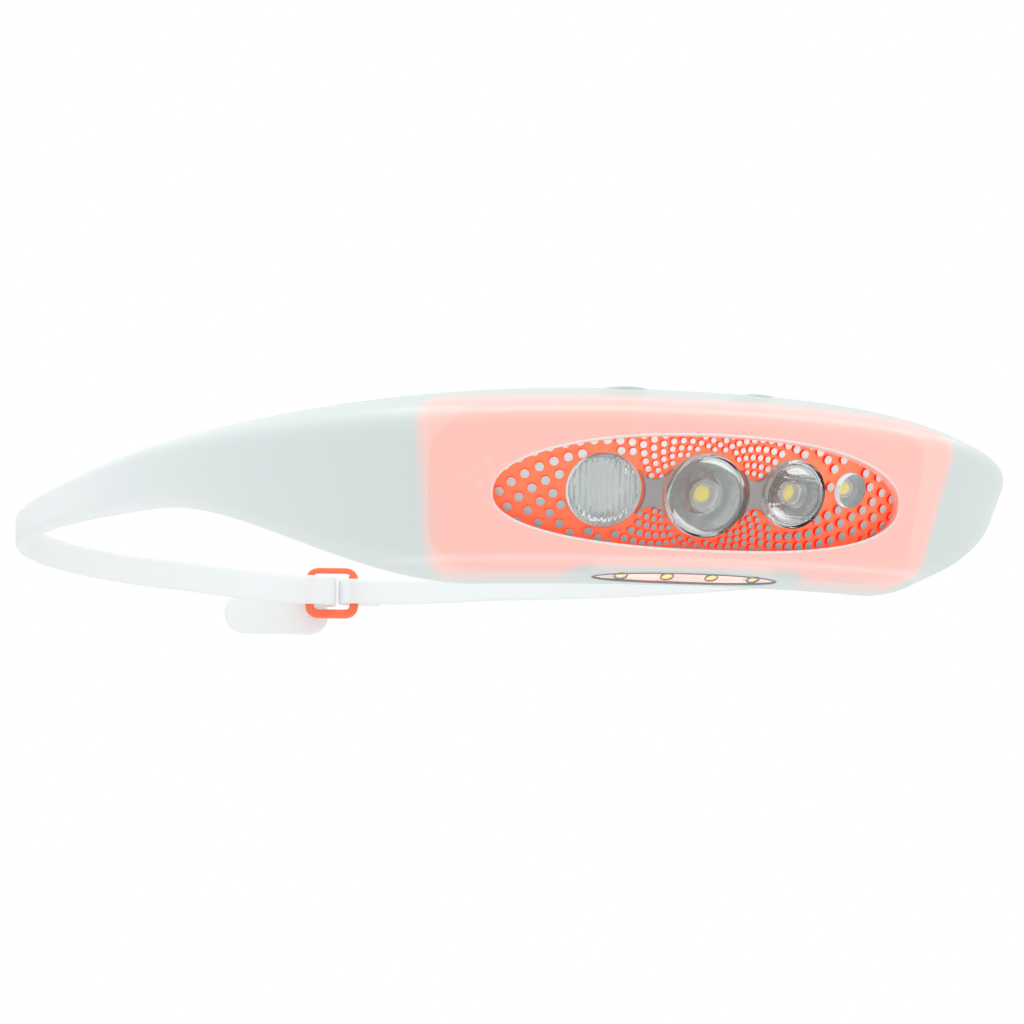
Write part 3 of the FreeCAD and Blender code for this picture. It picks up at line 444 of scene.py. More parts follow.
# ---------------------------------------------------------------- finishes
class Graph:
    """A node tree being filled."""

    def __init__(self, tree: bpy.types.NodeTree) -> None:
        """Start on a tree.

        Args:
            tree: The node tree to fill.
        """
        self.tree = tree

    def add(self, kind: str, values: dict | None = None, **settings: object) -> bpy.types.Node:
        """Add a node, set its properties and its inputs by number or name, or link them.

        Args:
            kind: Type of the node.
            values: Inputs by number or name.

        Returns:
            The node.
        """
        node = self.tree.nodes.new(kind)
        for key, value in settings.items():
            setattr(node, key, value)
        for key, value in (values or {}).items():
            socket = node.inputs[key]
            if isinstance(value, bpy.types.NodeSocket):
                self.tree.links.new(value, socket)
            elif isinstance(value, tuple) and len(value) == 3 and socket.type == "RGBA":
                socket.default_value = (*value, 1.0)
            else:
                socket.default_value = value
        return node

    def math(self, way: str, first: object, second: object = 0.0,
             third: object = 0.0) -> bpy.types.NodeSocket:
        """A math node's result.

        Args:
            way: The operation.
            first: First value.
            second: Second value.
            third: Third value.

        Returns:
            The output socket.
        """
        return self.add("ShaderNodeMath", {0: first, 1: second, 2: third}, operation=way).outputs[0]

    def mix(self, share: object, first: object, second: object) -> bpy.types.NodeSocket:
        """A colour between two.

        Args:
            share: Share of the second colour.
            first: First colour.
            second: Second colour.

        Returns:
            The output socket.
        """
        node = self.add("ShaderNodeMix", {0: share, 6: first, 7: second}, data_type="RGBA")
        return node.outputs[2]

    def span(self, value: object, low: float, high: float, to_low: float,
             to_high: float) -> bpy.types.NodeSocket:
        """A value moved from one range to another, held at its ends.

        Args:
            value: The value.
            low: Start of its range.
            high: End of its range.
            to_low: Start of the new range.
            to_high: End of the new range.

        Returns:
            The output socket.
        """
        node = self.add("ShaderNodeMapRange", {0: value, 1: low, 2: high, 3: to_low, 4: to_high})
        return node.outputs[0]


def new_group(name: str, inputs: dict[str, tuple[str, float]], outputs: dict[str, str]) -> tuple[Graph,
                                                            bpy.types.Node, bpy.types.Node]:
    """Start a shader node group with named inputs and outputs.

    Args:
        name: Name of the group.
        inputs: Socket type and default of each input.
        outputs: Socket type of each output.

    Returns:
        The graph and its input and output nodes.
    """
    tree = bpy.data.node_groups.new(name, "ShaderNodeTree")
    for label, (kind, value) in inputs.items():
        socket = tree.interface.new_socket(label, in_out="INPUT", socket_type=kind)
        if kind == "NodeSocketFloat":
            socket.default_value = value
    for label, kind in outputs.items():
        tree.interface.new_socket(label, in_out="OUTPUT", socket_type=kind)
    graph = Graph(tree)
    return graph, graph.add("NodeGroupInput"), graph.add("NodeGroupOutput")


FLOAT, COLOUR, VECTOR = "NodeSocketFloat", "NodeSocketColor", "NodeSocketVector"


class Effects:
    """The shader node groups that the finishes share."""

    def __init__(self) -> None:
        """Build every group once."""
        self.mottle = self._mottle()
        self.grain = self._grain()
        self.edge_highlight = self._edge_highlight()
        self.layer = self._height_shade()

    def _mottle(self) -> bpy.types.NodeTree:
        """Broad and fine clouding."""
        graph, given, result = new_group("Mottle", {"Scale": (FLOAT, 60.0), "Contrast": (FLOAT, 1.0)},
                                         {"Mask": FLOAT})
        place = graph.add("ShaderNodeTexCoord").outputs["Object"]
        broad = graph.add("ShaderNodeTexNoise", {"Vector": place, "Scale": given.outputs["Scale"],
                                                 "Detail": 4.0})
        fine_scale = graph.math("MULTIPLY", given.outputs["Scale"], 7.0)
        fine = graph.add("ShaderNodeTexNoise", {"Vector": place, "Scale": fine_scale, "Detail": 2.0})
        both = graph.math("MULTIPLY_ADD", fine.outputs[0], 0.4,
                          graph.math("MULTIPLY", broad.outputs[0], 0.6))
        centred = graph.math("MULTIPLY", graph.math("SUBTRACT", both, 0.5), given.outputs["Contrast"])
        held = graph.add("ShaderNodeClamp", {0: graph.math("ADD", centred, 0.5)}).outputs[0]
        graph.tree.links.new(held, result.inputs["Mask"])
        return graph.tree

    def _grain(self) -> bpy.types.NodeTree:
        """A fine surface grain."""
        graph, given, result = new_group(
            "Grain", {"Scale": (FLOAT, 4000.0), "Strength": (FLOAT, 0.1),
                      "Depth": (FLOAT, 0.00002)}, {"Normal": VECTOR})
        place = graph.add("ShaderNodeTexCoord").outputs["Object"]
        noise = graph.add("ShaderNodeTexNoise", {"Vector": place, "Scale": given.outputs["Scale"],
                                                 "Detail": 3.0})
        bump = graph.add("ShaderNodeBump", {"Strength": given.outputs["Strength"],
                                            "Distance": given.outputs["Depth"], "Height": noise.outputs[0]})
        graph.tree.links.new(bump.outputs[0], result.inputs["Normal"])
        return graph.tree

    def _edge_highlight(self) -> bpy.types.NodeTree:
        """Where the edges are, for a painted highlight along them."""
        graph, given, result = new_group("Edges", {"Radius": (FLOAT, 0.0003)},
                                         {"Mask": FLOAT, "Normal": VECTOR})
        soft = graph.add("ShaderNodeBevel", {"Radius": given.outputs["Radius"]}, samples=4)
        flat = graph.add("ShaderNodeNewGeometry").outputs["Normal"]
        match = graph.add("ShaderNodeVectorMath", {0: soft.outputs[0], 1: flat}, operation="DOT_PRODUCT")
        mask = graph.span(match.outputs["Value"], 1.0, 0.85, 0.0, 1.0)
        graph.tree.links.new(mask, result.inputs["Mask"])
        graph.tree.links.new(soft.outputs[0], result.inputs["Normal"])
        return graph.tree

    def _height_shade(self) -> bpy.types.NodeTree:
        """A mask along the height, for painted shade that darkens a piece towards its bottom."""
        graph, given, result = new_group("Painted Height Shade", {"Low": (FLOAT, 0.0), "High": (FLOAT, 0.01)},
                                         {"Mask": FLOAT})
        place = graph.add("ShaderNodeTexCoord").outputs["Object"]
        split = graph.add("ShaderNodeSeparateXYZ", {0: place})
        node = graph.add("ShaderNodeMapRange", {0: split.outputs[2], 1: given.outputs["Low"],
                                                2: given.outputs["High"]})
        graph.tree.links.new(node.outputs[0], result.inputs["Mask"])
        return graph.tree


EFFECTS = Effects()


def use(graph: Graph, tree: bpy.types.NodeTree, **values: float) -> bpy.types.Node:
    """Put a shared group in a material.

    Args:
        graph: The material or group to add to.
        tree: The shared group.

    Returns:
        The node.
    """
    node = graph.add("ShaderNodeGroup", node_tree=tree)
    for key, value in values.items():
        node.inputs[key].default_value = value
    return node


@dataclass(frozen=True)
class Moulded:
    """An opaque moulded, plated or painted finish."""

    name: str
    light: Colour
    dark: Colour
    roughness: float = 0.4
    spread: float = 0.12
    mottle: float = 60.0
    grain: float = 3000.0
    bump: float = 0.12
    metallic: float = 0.0
    coat: float = 0.0
    glow: float = 0.0
    # edge and edge_colour set a painted highlight: edges lightened towards white
    edge: float = 0.25
    edge_colour: Colour = (1.0, 1.0, 1.0)

    def build(self) -> bpy.types.Material:
        """Make the material.

        Returns:
            The Blender material.
        """
        material, graph, shader = blank(self.name)
        mask = use(graph, EFFECTS.mottle, Scale=self.mottle, Contrast=1.6).outputs["Mask"]
        edges = use(graph, EFFECTS.edge_highlight, Radius=0.00025)
        colour = graph.mix(mask, self.dark, self.light)
        # painted highlight: the edges are mixed towards the edge colour
        rim = graph.math("MULTIPLY", edges.outputs["Mask"], self.edge)
        colour = graph.mix(rim, colour, self.edge_colour)
        self.finish(graph, shader, self.surface(graph, colour), mask)
        return material

    def surface(self, graph: Graph, colour: bpy.types.NodeSocket) -> bpy.types.NodeSocket:
        """Pattern laid over the base colour; a plain finish has none.

        Args:
            graph: The material or group to add to; not used by a plain finish.
            colour: The colour so far.

        Returns:
            The output socket.
        """
        return colour

    def finish(self, graph: Graph, shader: bpy.types.Node, colour: bpy.types.NodeSocket,
               mask: bpy.types.NodeSocket) -> None:
        """Connect colour, roughness and grain to the shader.

        Args:
            graph: The material or group to add to.
            shader: The shader node.
            colour: The colour so far.
            mask: The mottled mask.
        """
        rough = graph.span(mask, 0.0, 1.0, self.roughness + self.spread / 2,
                           self.roughness - self.spread / 2)
        grain = use(graph, EFFECTS.grain, Scale=self.grain, Strength=self.bump)
        links = graph.tree.links
        links.new(colour, shader.inputs["Base Color"])
        links.new(rough, shader.inputs["Roughness"])
        links.new(grain.outputs["Normal"], shader.inputs["Normal"])
        shader.inputs["Metallic"].default_value = self.metallic
        shader.inputs["Coat Weight"].default_value = self.coat
        shader.inputs["Coat Roughness"].default_value = 0.12
        # painted light: the piece glows in its own colour, though only the LEDs are lamps
        if self.glow:
            links.new(colour, shader.inputs["Emission Color"])
            shader.inputs["Emission Strength"].default_value = self.glow


@dataclass(frozen=True)
class Board(Moulded):
    """Solder mask with copper tracks and pads."""

    track: Colour = (0.45, 0.5, 0.45)
    pad: Colour = (0.75, 0.6, 0.3)

    def surface(self, graph: Graph, colour: bpy.types.NodeSocket) -> bpy.types.NodeSocket:
        """Tracks and pads over the mask.

        Args:
            graph: The material or group to add to.
            colour: The colour so far.

        Returns:
            The output socket.
        """
        place = graph.add("ShaderNodeTexCoord").outputs["Object"]
        lines = graph.add("ShaderNodeTexWave", {"Vector": place, "Scale": 260.0, "Distortion": 2.5,
                                                "Detail": 1.0})
        tracks = graph.span(lines.outputs["Fac"], 0.93, 0.97, 0.0, 0.6)
        cells = graph.add("ShaderNodeTexVoronoi", {"Vector": place, "Scale": 480.0})
        pads = graph.span(cells.outputs["Distance"], 0.16, 0.12, 0.0, 0.9)
        return graph.mix(pads, graph.mix(tracks, colour, self.track), self.pad)


@dataclass(frozen=True)
class HeightShaded(Moulded):
    """A finish that goes from one colour to another with height: the lower colour is painted shade."""

    shade_colour: Colour = (1.0, 0.2, 0.1)
    low: float = -0.012
    high: float = 0.004

    def surface(self, graph: Graph, colour: bpy.types.NodeSocket) -> bpy.types.NodeSocket:
        """Darken the colour down the piece, as painted shade.

        Args:
            graph: The material or group to add to.
            colour: The colour so far.

        Returns:
            The output socket.
        """
        # painted shade: the colour goes darker towards the bottom of the piece
        painted_shade = use(graph, EFFECTS.layer, Low=self.low, High=self.high).outputs["Mask"]
        return graph.mix(painted_shade, self.shade_colour, colour)


@dataclass(frozen=True)
class Foil(Moulded):
    """Crinkled pouch foil."""

    def surface(self, graph: Graph, colour: bpy.types.NodeSocket) -> bpy.types.NodeSocket:
        """Creases over the foil, darkened as painted shade.

        Args:
            graph: The material or group to add to.
            colour: The colour so far.

        Returns:
            The output socket.
        """
        place = graph.add("ShaderNodeTexCoord").outputs["Object"]
        cells = graph.add("ShaderNodeTexVoronoi", {"Vector": place, "Scale": 350.0},
                          feature="DISTANCE_TO_EDGE")
        crease_shade = graph.span(cells.outputs["Distance"], 0.0, 0.06, 0.5, 0.0)
        # painted shade: the foil goes dark grey along its creases
        return graph.mix(crease_shade, colour, (0.35, 0.36, 0.38))


@dataclass(frozen=True)
class Clear:
    """Clear or tinted optical plastic."""

    name: str
    tint: Colour
    roughness: float = 0.03
    ior: float = 1.49
    frost: float = 0.0
    lift: float = 0.0

    def build(self) -> bpy.types.Material:
        """Make the material.

        Returns:
            The Blender material.
        """
        material, graph, shader = blank(self.name)
        # painted light: a glow in the tint's colour, as strong as lift
        shader.inputs["Emission Color"].default_value = (*self.tint, 1.0)
        shader.inputs["Emission Strength"].default_value = self.lift
        mask = use(graph, EFFECTS.mottle, Scale=300.0, Contrast=2.0).outputs["Mask"]
        rough = graph.span(mask, 0.3, 0.9, self.roughness, self.roughness + 0.03)
        grain = use(graph, EFFECTS.grain, Scale=900.0, Strength=0.03)
        graph.tree.links.new(rough, shader.inputs["Roughness"])
        graph.tree.links.new(grain.outputs["Normal"], shader.inputs["Normal"])
        graph.tree.links.new(graph.mix(mask, self.tint, tuple(0.97 * c for c in self.tint)),
                             shader.inputs["Base Color"])
        shader.inputs["IOR"].default_value = self.ior
        shader.inputs["Transmission Weight"].default_value = 1.0 - self.frost
        return material


@dataclass(frozen=True)
class Silicone:
    """Frosted see-through silicone that takes up the colour of the case behind it, with painted light: a
    red glow over the case, painted shade where it is thick and painted highlights along its ridges.
    """

    name: str
    white: Colour
    # grey of the painted shade where the sleeve is thick near the lamp
    shade_grey: Colour
    warm: Colour
    # strength of the painted red glow over the case
    warm_glow: float = 0.13
    cover: float = 0.93
    warm_cover: float = 0.95
    roughness: float = 0.42

    def build(self) -> bpy.types.Material:
        """Make the material.

        Returns:
            The Blender material.
        """
        material, graph, shader = blank(self.name)
        mask = use(graph, EFFECTS.mottle, Scale=35.0, Contrast=1.2).outputs["Mask"]
        warmth = graph.add("ShaderNodeAttribute", attribute_name="warmth").outputs["Fac"]
        thick_shade = graph.add("ShaderNodeAttribute", attribute_name="thick_shade").outputs["Fac"]
        ridge = graph.add("ShaderNodeAttribute", attribute_name="ridge").outputs["Fac"]
        pale = graph.mix(mask, tuple(0.965 * c for c in self.white), self.white)
        # painted shade: greyer where the sleeve is thick near the lamp and along its top there
        colour = graph.mix(warmth, graph.mix(thick_shade, pale, self.shade_grey), self.warm)
        # painted highlight: lighter lines along the front panel's ridges
        colour = graph.mix(graph.math("MULTIPLY", ridge, 0.45), colour, (1.0, 0.97, 0.96))
        rough = graph.span(mask, 0.0, 1.0, self.roughness + 0.06, self.roughness - 0.04)
        grain = use(graph, EFFECTS.grain, Scale=5200.0, Strength=0.12)
        links = graph.tree.links
        links.new(colour, shader.inputs["Base Color"])
        links.new(rough, shader.inputs["Roughness"])
        links.new(grain.outputs["Normal"], shader.inputs["Normal"])
        # painted light: a red glow where the case lies behind the silicone
        links.new(graph.mix(warmth, (0.0, 0.0, 0.0), (1.0, 0.12, 0.08)), shader.inputs["Emission Color"])
        shader.inputs["Emission Strength"].default_value = self.warm_glow
        shader.inputs["Subsurface Weight"].default_value = 0.35
        shader.inputs["Subsurface Radius"].default_value = (1.0, 0.9, 0.85)
        shader.inputs["Subsurface Scale"].default_value = 0.0025
        shader.inputs["Specular IOR Level"].default_value = 0.35
        inside = graph.add("ShaderNodeNewGeometry").outputs["Backfacing"]
        thick = graph.span(warmth, 0.0, 1.0, self.cover, self.warm_cover)
        cover = graph.math("MULTIPLY", graph.math("SUBTRACT", 1.0, inside), thick)
        links.new(cover, shader.inputs["Alpha"])
        return material


def blank(name: str) -> tuple[bpy.types.Material, Graph, bpy.types.Node]:
    """A new material with only its shader and output.

    Args:
        name: Name of the material.

    Returns:
        The material, its graph and its shader.
    """
    material = bpy.data.materials.new(name)
    material.use_nodes = True
    tree = material.node_tree
    shader = next(n for n in tree.nodes if n.type == "BSDF_PRINCIPLED")
    return material, Graph(tree), shader


class Palette(Enum):
    """Every finish of the lamp, by name."""

    # in both silicones the second colour is the grey of painted shade
    PAD = Silicone("Button Silicone", linear(226, 234, 233), linear(213, 225, 223),
                   linear(255, 207, 198), cover=1.0)
    SILICONE = Silicone("Frosted Silicone", linear(240, 246, 247), linear(213, 225, 223),
                        linear(255, 207, 198))
    # the rim's near-white colour is a painted highlight along the window's lip
    RIM = Moulded("Window Rim", linear(250, 238, 236), linear(242, 228, 226), roughness=0.3, edge=0.0)
    # the orange's glow is painted light
    ORANGE = Moulded("Satin Orange", linear(255, 122, 78), linear(244, 104, 66), roughness=0.33,
                     coat=0.15, edge=0.1, glow=0.1)
    CORAL = Moulded("Coral Case", linear(255, 128, 104), linear(246, 112, 90), roughness=0.5)
    # faceplate: its darker lower colour is painted shade and its glow is painted light
    PLATE = HeightShaded("Faceplate", linear(255, 150, 104), linear(254, 140, 96), roughness=0.45, edge=0.0,
                  glow=0.22,
                  shade_colour=linear(255, 104, 66), low=-0.013, high=0.004)
    # peg tops: their grey lower colour is painted shade
    PEG_TOP = HeightShaded("Peg Tops", linear(252, 253, 253), linear(244, 248, 248), roughness=0.3, edge=0.0,
                    shade_colour=linear(160, 172, 170), low=-0.0085, high=0.0025)
    # peg sides: real walls, their deep red painted shade standing in for the dark crescents beside each
    # peg, and their glow painted light
    PEG_SIDE = Moulded("Peg Sides", linear(255, 48, 8), linear(244, 36, 4), roughness=0.5, edge=0.0,
                       glow=0.3)
    SEAL = Moulded("Seal Rubber", linear(46, 46, 47), linear(36, 36, 37), roughness=0.62, grain=5000.0)
    STEEL = Moulded("Plated Steel", linear(196, 197, 199), linear(164, 165, 168), roughness=0.28,
                    metallic=1.0)
    SOCKET = Moulded("Drawn Steel", linear(206, 207, 209), linear(176, 178, 180), roughness=0.24,
                     metallic=1.0)
    # the reflector's glow is painted light
    CUP = Moulded("Reflector", linear(236, 240, 240), linear(206, 214, 214), roughness=0.22,
                  metallic=0.6, edge=0.0, glow=0.12)
    BOARD = Board("Circuit Board", linear(236, 236, 228), linear(224, 224, 216), roughness=0.42)
    RIBBON = Moulded("Amber Film", linear(206, 140, 58), linear(184, 118, 44), roughness=0.25, mottle=300.0)
    LED_FRAME = Moulded("LED Frame", linear(246, 246, 242), linear(232, 232, 226), roughness=0.35)
    PHOSPHOR = Moulded("Phosphor", linear(255, 244, 150), linear(250, 228, 96), roughness=0.35,
                       mottle=900.0, glow=0.25)
    BLACK = Moulded("Black Moulding", linear(34, 34, 35), linear(26, 26, 27), roughness=0.45)
    FOIL = Foil("Pouch Foil", linear(206, 208, 212), linear(186, 189, 194), roughness=0.3, metallic=0.9)
    LEAD = Moulded("Lead Sleeve", linear(196, 40, 30), linear(170, 30, 24), roughness=0.4)
    OPTIC = Clear("Clear Optic", (0.97, 0.985, 0.985))
    BRIDGE = Clear("Bridge Optic", (0.56, 0.61, 0.61), roughness=0.1, frost=0.5)
    # the down light window's lift is a painted pink glow
    PINK_CLEAR = Clear("Down Light Window", (0.95, 0.6, 0.54), roughness=0.2, frost=0.9, lift=0.55)
    # dark grey for pieces that stand in for shade at the down light's slot and round its bumps
    OUTLINE = Moulded("Painted Shade Line", linear(120, 128, 128), linear(98, 106, 106), roughness=0.5)
    FLOOR = Moulded("Pale Floor", linear(246, 246, 246), linear(242, 242, 242), roughness=0.8, edge=0.0)


class Finishes:
    """Materials made from the palette, each once."""

    def __init__(self) -> None:
        """Start with none made."""
        self.made: dict[str, bpy.types.Material] = {}

    def paint(self, made: bpy.types.Object, finish: Palette) -> bpy.types.Object:
        """Give a piece one finish.

        Args:
            made: The piece.
            finish: Its finish.

        Returns:
            The piece.
        """
        made.data.materials.clear()
        made.data.materials.append(self.get(finish))
        return made

    def get(self, finish: Palette) -> bpy.types.Material:
        """The material of a finish.

        Args:
            finish: The named finish.

        Returns:
            The material.
        """
        if finish.name not in self.made:
            self.made[finish.name] = finish.value.build()
        return self.made[finish.name]


FINISHES = Finishes()


# ---------------------------------------------------------------- headband
@dataclass
class Headband:
    """The silicone sleeve and strap, its folds at the buckle and its pull tab."""

    left_bar: tuple[float, float] = (-10.35, 104.32)
    right_bar: tuple[float, float] = (0.15, 102.21)
    fold_right: float = 1.4
    fold_left: float = 4.05
    lead: float = 7.0
    tail: float = 7.0
    tab_long: float = 25.0
    tab_tall: float = 9.4
    tab_thick: float = 1.8
    tab_drop: float = 6.1
    tab_reach: float = 5.8
    window: tuple[float, float, float, float] = (32.6, 8.0, -4.45, 2.3)
    slot_arc: float = -1.3
    slot_depth: float = 2.45
    slot_half_long: float = 14.4
    slot_half_wide: float = 1.5
    case_half: float = 38.2
    case_corner: float = 7.0

    def __post_init__(self) -> None:
        """Measure the loop."""
        self.line = LoopLine(SLEEVE)
        self.left_end = self.line.half + self.left_bar[0] - self.lead
        self.right_end = self.line.half - self.right_bar[0] - self.lead

    def build(self) -> list[bpy.types.Object]:
        """Build the band, its tab and the window's rim.

        Returns:
            The pieces.
        """
        band = self.band()
        carve(band, self.tab(), "UNION")
        for tool in (self.pocket(), self.window_tool(), self.slot_tool()):
            carve(band, tool, "DIFFERENCE")
        soften(band, 32.0)
        self.warm(band)
        FINISHES.paint(band, Palette.SILICONE)
        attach(band, "headband")
        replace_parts(band, "silicone_headband")
        rim = FINISHES.paint(self.rim(), Palette.RIM)
        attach(rim, "headband")
        return [band, rim]

    def section(self, arc: float) -> np.ndarray:
        """Rounded section at an arc.

        Args:
            arc: Arc off the centre, in millimetres.

        Returns:
            The points.
        """
        flare = SLEEVE.flare * eased((-arc - (self.left_end - SLEEVE.flare_run)) / SLEEVE.flare_run)
        corners = SLEEVE.corners(arc, flare)
        return rounded(corners, [0.7, 2.2, 2.6, 2.6, 0.7], 6, [3, 10, 3, 3, 8])

    def band(self) -> bpy.types.Object:
        """The band and both folds, swept in one run."""
        rows = []
        for spot, out in self.fold(self.left_bar, self.fold_left, 1, self.left_end)[::-1]:
            rows.append(self.row(spot, out, -self.left_end, -SLEEVE.strap_dip))
        lamp = 52.0
        arcs = np.concatenate([np.arange(-self.left_end, -lamp, 2.6), np.arange(-lamp, lamp, 1.3),
                               np.arange(lamp, self.right_end, 2.6), [self.right_end]])
        for arc in arcs:
            end = self.left_end if arc < 0 else self.right_end
            lift = -SLEEVE.strap_dip * eased((abs(arc) - (end - SLEEVE.dip_run)) / SLEEVE.dip_run)
            spot, out = self.line.spot(arc)
            rows.append(self.row(spot, out, arc, lift))
        for spot, out in self.fold(self.right_bar, self.fold_right, -1, self.right_end):
            rows.append(self.row(spot, out, self.right_end, -SLEEVE.strap_dip))
        count = len(rows[0])
        faces = grid_faces(len(rows), count)
        faces += [tuple(range(count))[::-1], tuple(range((len(rows) - 1) * count, len(rows) * count))]
        return make("headband_silicone", np.vstack(rows), faces)

    def row(self, spot: np.ndarray, out: np.ndarray, arc: float, lift: float) -> np.ndarray:
        """One section set up in space.

        Args:
            spot: Point of the line.
            out: Outward direction there.
            arc: Arc off the centre, in millimetres.
            lift: Height added to the section.

        Returns:
            The points.
        """
        flat = self.section(arc)
        return np.column_stack([spot[0] + out[0] * flat[:, 0], spot[1] + out[1] * flat[:, 0],
                                flat[:, 1] + lift])

    def fold(self, bar: tuple[float, float], radius: float, side: int,
             arc: float) -> list[tuple[np.ndarray, np.ndarray]]:
        """Inner line and outward direction of a strap end as it turns round a bar.

        Args:
            bar: Middle of the bar, (x, y).
            radius: Inner radius of the turn.
            side: 1 where the turn bulges towards plus X, -1 towards minus X.
            arc: Arc where the strap leaves the loop.

        Returns:
            The points and directions along it.
        """
        outer = radius + SLEEVE.strap_thick
        spot, out = self.line.spot(-arc if side > 0 else arc)
        low = np.array([bar[0], bar[1] - outer])
        run = []
        for share in np.linspace(0, 1, 6)[1:]:
            bend = eased(share)
            run.append((spot * (1 - share) + low * share, out * (1 - bend) + np.array([0, 1]) * bend))
        for turn in np.linspace(-90, 90, 19)[1:]:
            angle = math.radians(turn)
            away = np.array([side * math.cos(angle), math.sin(angle)])
            run.append((np.array(bar) + away * outer, -away))
        for reach in np.linspace(0, self.tail, 5)[1:]:
            run.append((np.array([bar[0] - side * reach, bar[1] + outer]), np.array([0.0, -1.0])))
        return run

    def tab(self) -> bpy.types.Object:
        """The pull tab: a long round-ended plate with rounded edges."""
        half_run = (self.tab_long - self.tab_tall) / 2
        middle = self.left_bar[0] + self.tab_reach - self.tab_long / 2
        face = self.left_bar[1] + self.fold_left
        rows = []
        turn = np.linspace(0, 2 * math.pi, 72, endpoint=False)
        sideways = np.cos(turn)
        reach = np.where(sideways >= 0, half_run, -half_run)
        for shrink, depth in ((0.5, 0.0), (0.15, 0.12), (0.0, 0.45), (0.0, self.tab_thick - 0.45),
                              (0.15, self.tab_thick - 0.12), (0.5, self.tab_thick)):
            radius = self.tab_tall / 2 - shrink
            rows.append(np.column_stack([middle + reach + radius * sideways, np.full(72, face + depth),
                                         -self.tab_drop + radius * np.sin(turn)]))
        faces = grid_faces(len(rows), 72) + [tuple(range(72))[::-1], tuple(range(5 * 72, 6 * 72))]
        return make("pull_tab", np.vstack(rows), faces)

    def outline(self, grow: float, count: int = 120) -> np.ndarray:
        """The window's oval, as (x, z).

        Args:
            grow: How much wider than drawn.
            count: Number of points.

        Returns:
            The points.
        """
        half_wide, half_tall, middle, power = self.window
        turn = np.linspace(0, 2 * math.pi, count, endpoint=False)
        across = np.sign(np.cos(turn)) * np.abs(np.cos(turn)) ** (2 / power) * (half_wide + grow)
        up = np.sign(np.sin(turn)) * np.abs(np.sin(turn)) ** (2 / power) * (half_tall + grow)
        return np.column_stack([across, up + middle])

    def window_tool(self) -> bpy.types.Object:
        """What is taken out for the window."""
        flat = self.outline(0)
        outline = np.column_stack([flat[:, 0], np.zeros(len(flat)), flat[:, 1]])
        return prism("window_tool", outline, np.array([0, -150, 0]), np.array([0, SLEEVE.bend_centre, 0]))

    def slot_tool(self) -> bpy.types.Object:
        """What is taken out for the down light."""
        outline = [SLEEVE.bent(arc, depth, 0) for arc, depth in self.slot(0.0)]
        return prism("slot_tool", np.array(outline), np.array([0, 0, -20.0]), np.array([0, 0, -3.0]))

    def slot(self, grow: float) -> list[tuple[float, float]]:
        """The down light's slim oval as (arc, depth), grown.

        Args:
            grow: How much wider than drawn.

        Returns:
            The (arc, depth) or (depth, height) pairs.
        """
        spots = []
        for turn in np.linspace(0, 2 * math.pi, 120, endpoint=False):
            along = math.copysign(abs(math.cos(turn)) ** 0.92, math.cos(turn))
            spots.append((self.slot_arc + (self.slot_half_long + grow) * along,
                          self.slot_depth + (self.slot_half_wide + grow) * math.sin(turn)))
        return spots

    def pocket(self) -> bpy.types.Object:
        """The space for the core, open to the back."""
        gap = SLEEVE.skin - 0.2
        rise = SLEEVE.bottom_rise / SLEEVE.depth_bottom
        floor = 1.4 * math.hypot(1, rise)
        slant = math.hypot(1, SLEEVE.lean)
        low = (SLEEVE.lean * floor - gap * slant) / (1 - SLEEVE.lean * rise)
        low_depth = SLEEVE.depth_bottom + low
        fall = SLEEVE.top_drop / (SLEEVE.depth_top - SLEEVE.top_flat)
        bevel = math.hypot(1, fall)
        high = -(bevel * 2.4 * SLEEVE.lean + gap * slant) / (fall * SLEEVE.lean + 1)
        top = SLEEVE.top - 2.4
        top_depth = SLEEVE.top_flat + (SLEEVE.top - 2.4 * bevel - top) / fall
        ridge = SLEEVE.top - SLEEVE.top_drop
        section = [(-6.0, -6.0 * rise - SLEEVE.bottom + floor),
                   (low_depth, low_depth * rise - SLEEVE.bottom + floor),
                   (SLEEVE.depth_top + high, ridge - high * fall - 2.4 * bevel), (top_depth,
                                                            top), (-6.0, top)]
        smooth = rounded(section, [0.2, 0.8, 0.8, 0.8, 0.2], 4, [0, 0, 0, 0, 0])
        arcs = np.linspace(-50, 50, 61)
        rows = [np.array([SLEEVE.bent(arc, depth, height) for depth, height in smooth]) for arc in arcs]
        count = len(smooth)
        faces = grid_faces(len(rows), count)
        faces += [tuple(range(count))[::-1], tuple(range((len(rows) - 1) * count, len(rows) * count))]
        made = make("pocket_tool", np.vstack(rows), faces)
        low_edge = section[0][1]
        block = [(-self.case_half, low_edge), (self.case_half, low_edge), (self.case_half, top),
                 (-self.case_half, top)]
        flat = rounded(block, [self.case_corner] * 4, 9, [0] * 4)
        outline = np.column_stack([flat[:, 0], np.zeros(len(flat)), flat[:, 1]])
        carve(made, prism("block_tool", outline, np.array([0, -150, 0]),
                          np.array([0, SLEEVE.bend_centre, 0])), "INTERSECT")
        return made

    def rim(self) -> bpy.types.Object:
        """The bright bead of silicone round the window: a real lip, its light colour a painted highlight.
        """
        flat = self.outline(0.12, 240)
        rows = []
        for n, (x, z) in enumerate(flat):
            along = flat[(n + 1) % len(flat)] - flat[n - 1]
            away = np.array([along[1], -along[0]]) / np.linalg.norm(along)
            arc = self.arc_at(x, z)
            place = SLEEVE.panel_frame(arc, z, 0.0)
            for turn in np.linspace(0, 2 * math.pi, 10, endpoint=False):
                side, up = 0.2 * math.cos(turn), 0.16 * math.sin(turn)
                rows.append(placed([away[0] * side, away[1] * side, up - 0.05], place))
        return make("window_rim", np.vstack(rows), grid_faces(len(flat), 10, closed_rows=True))

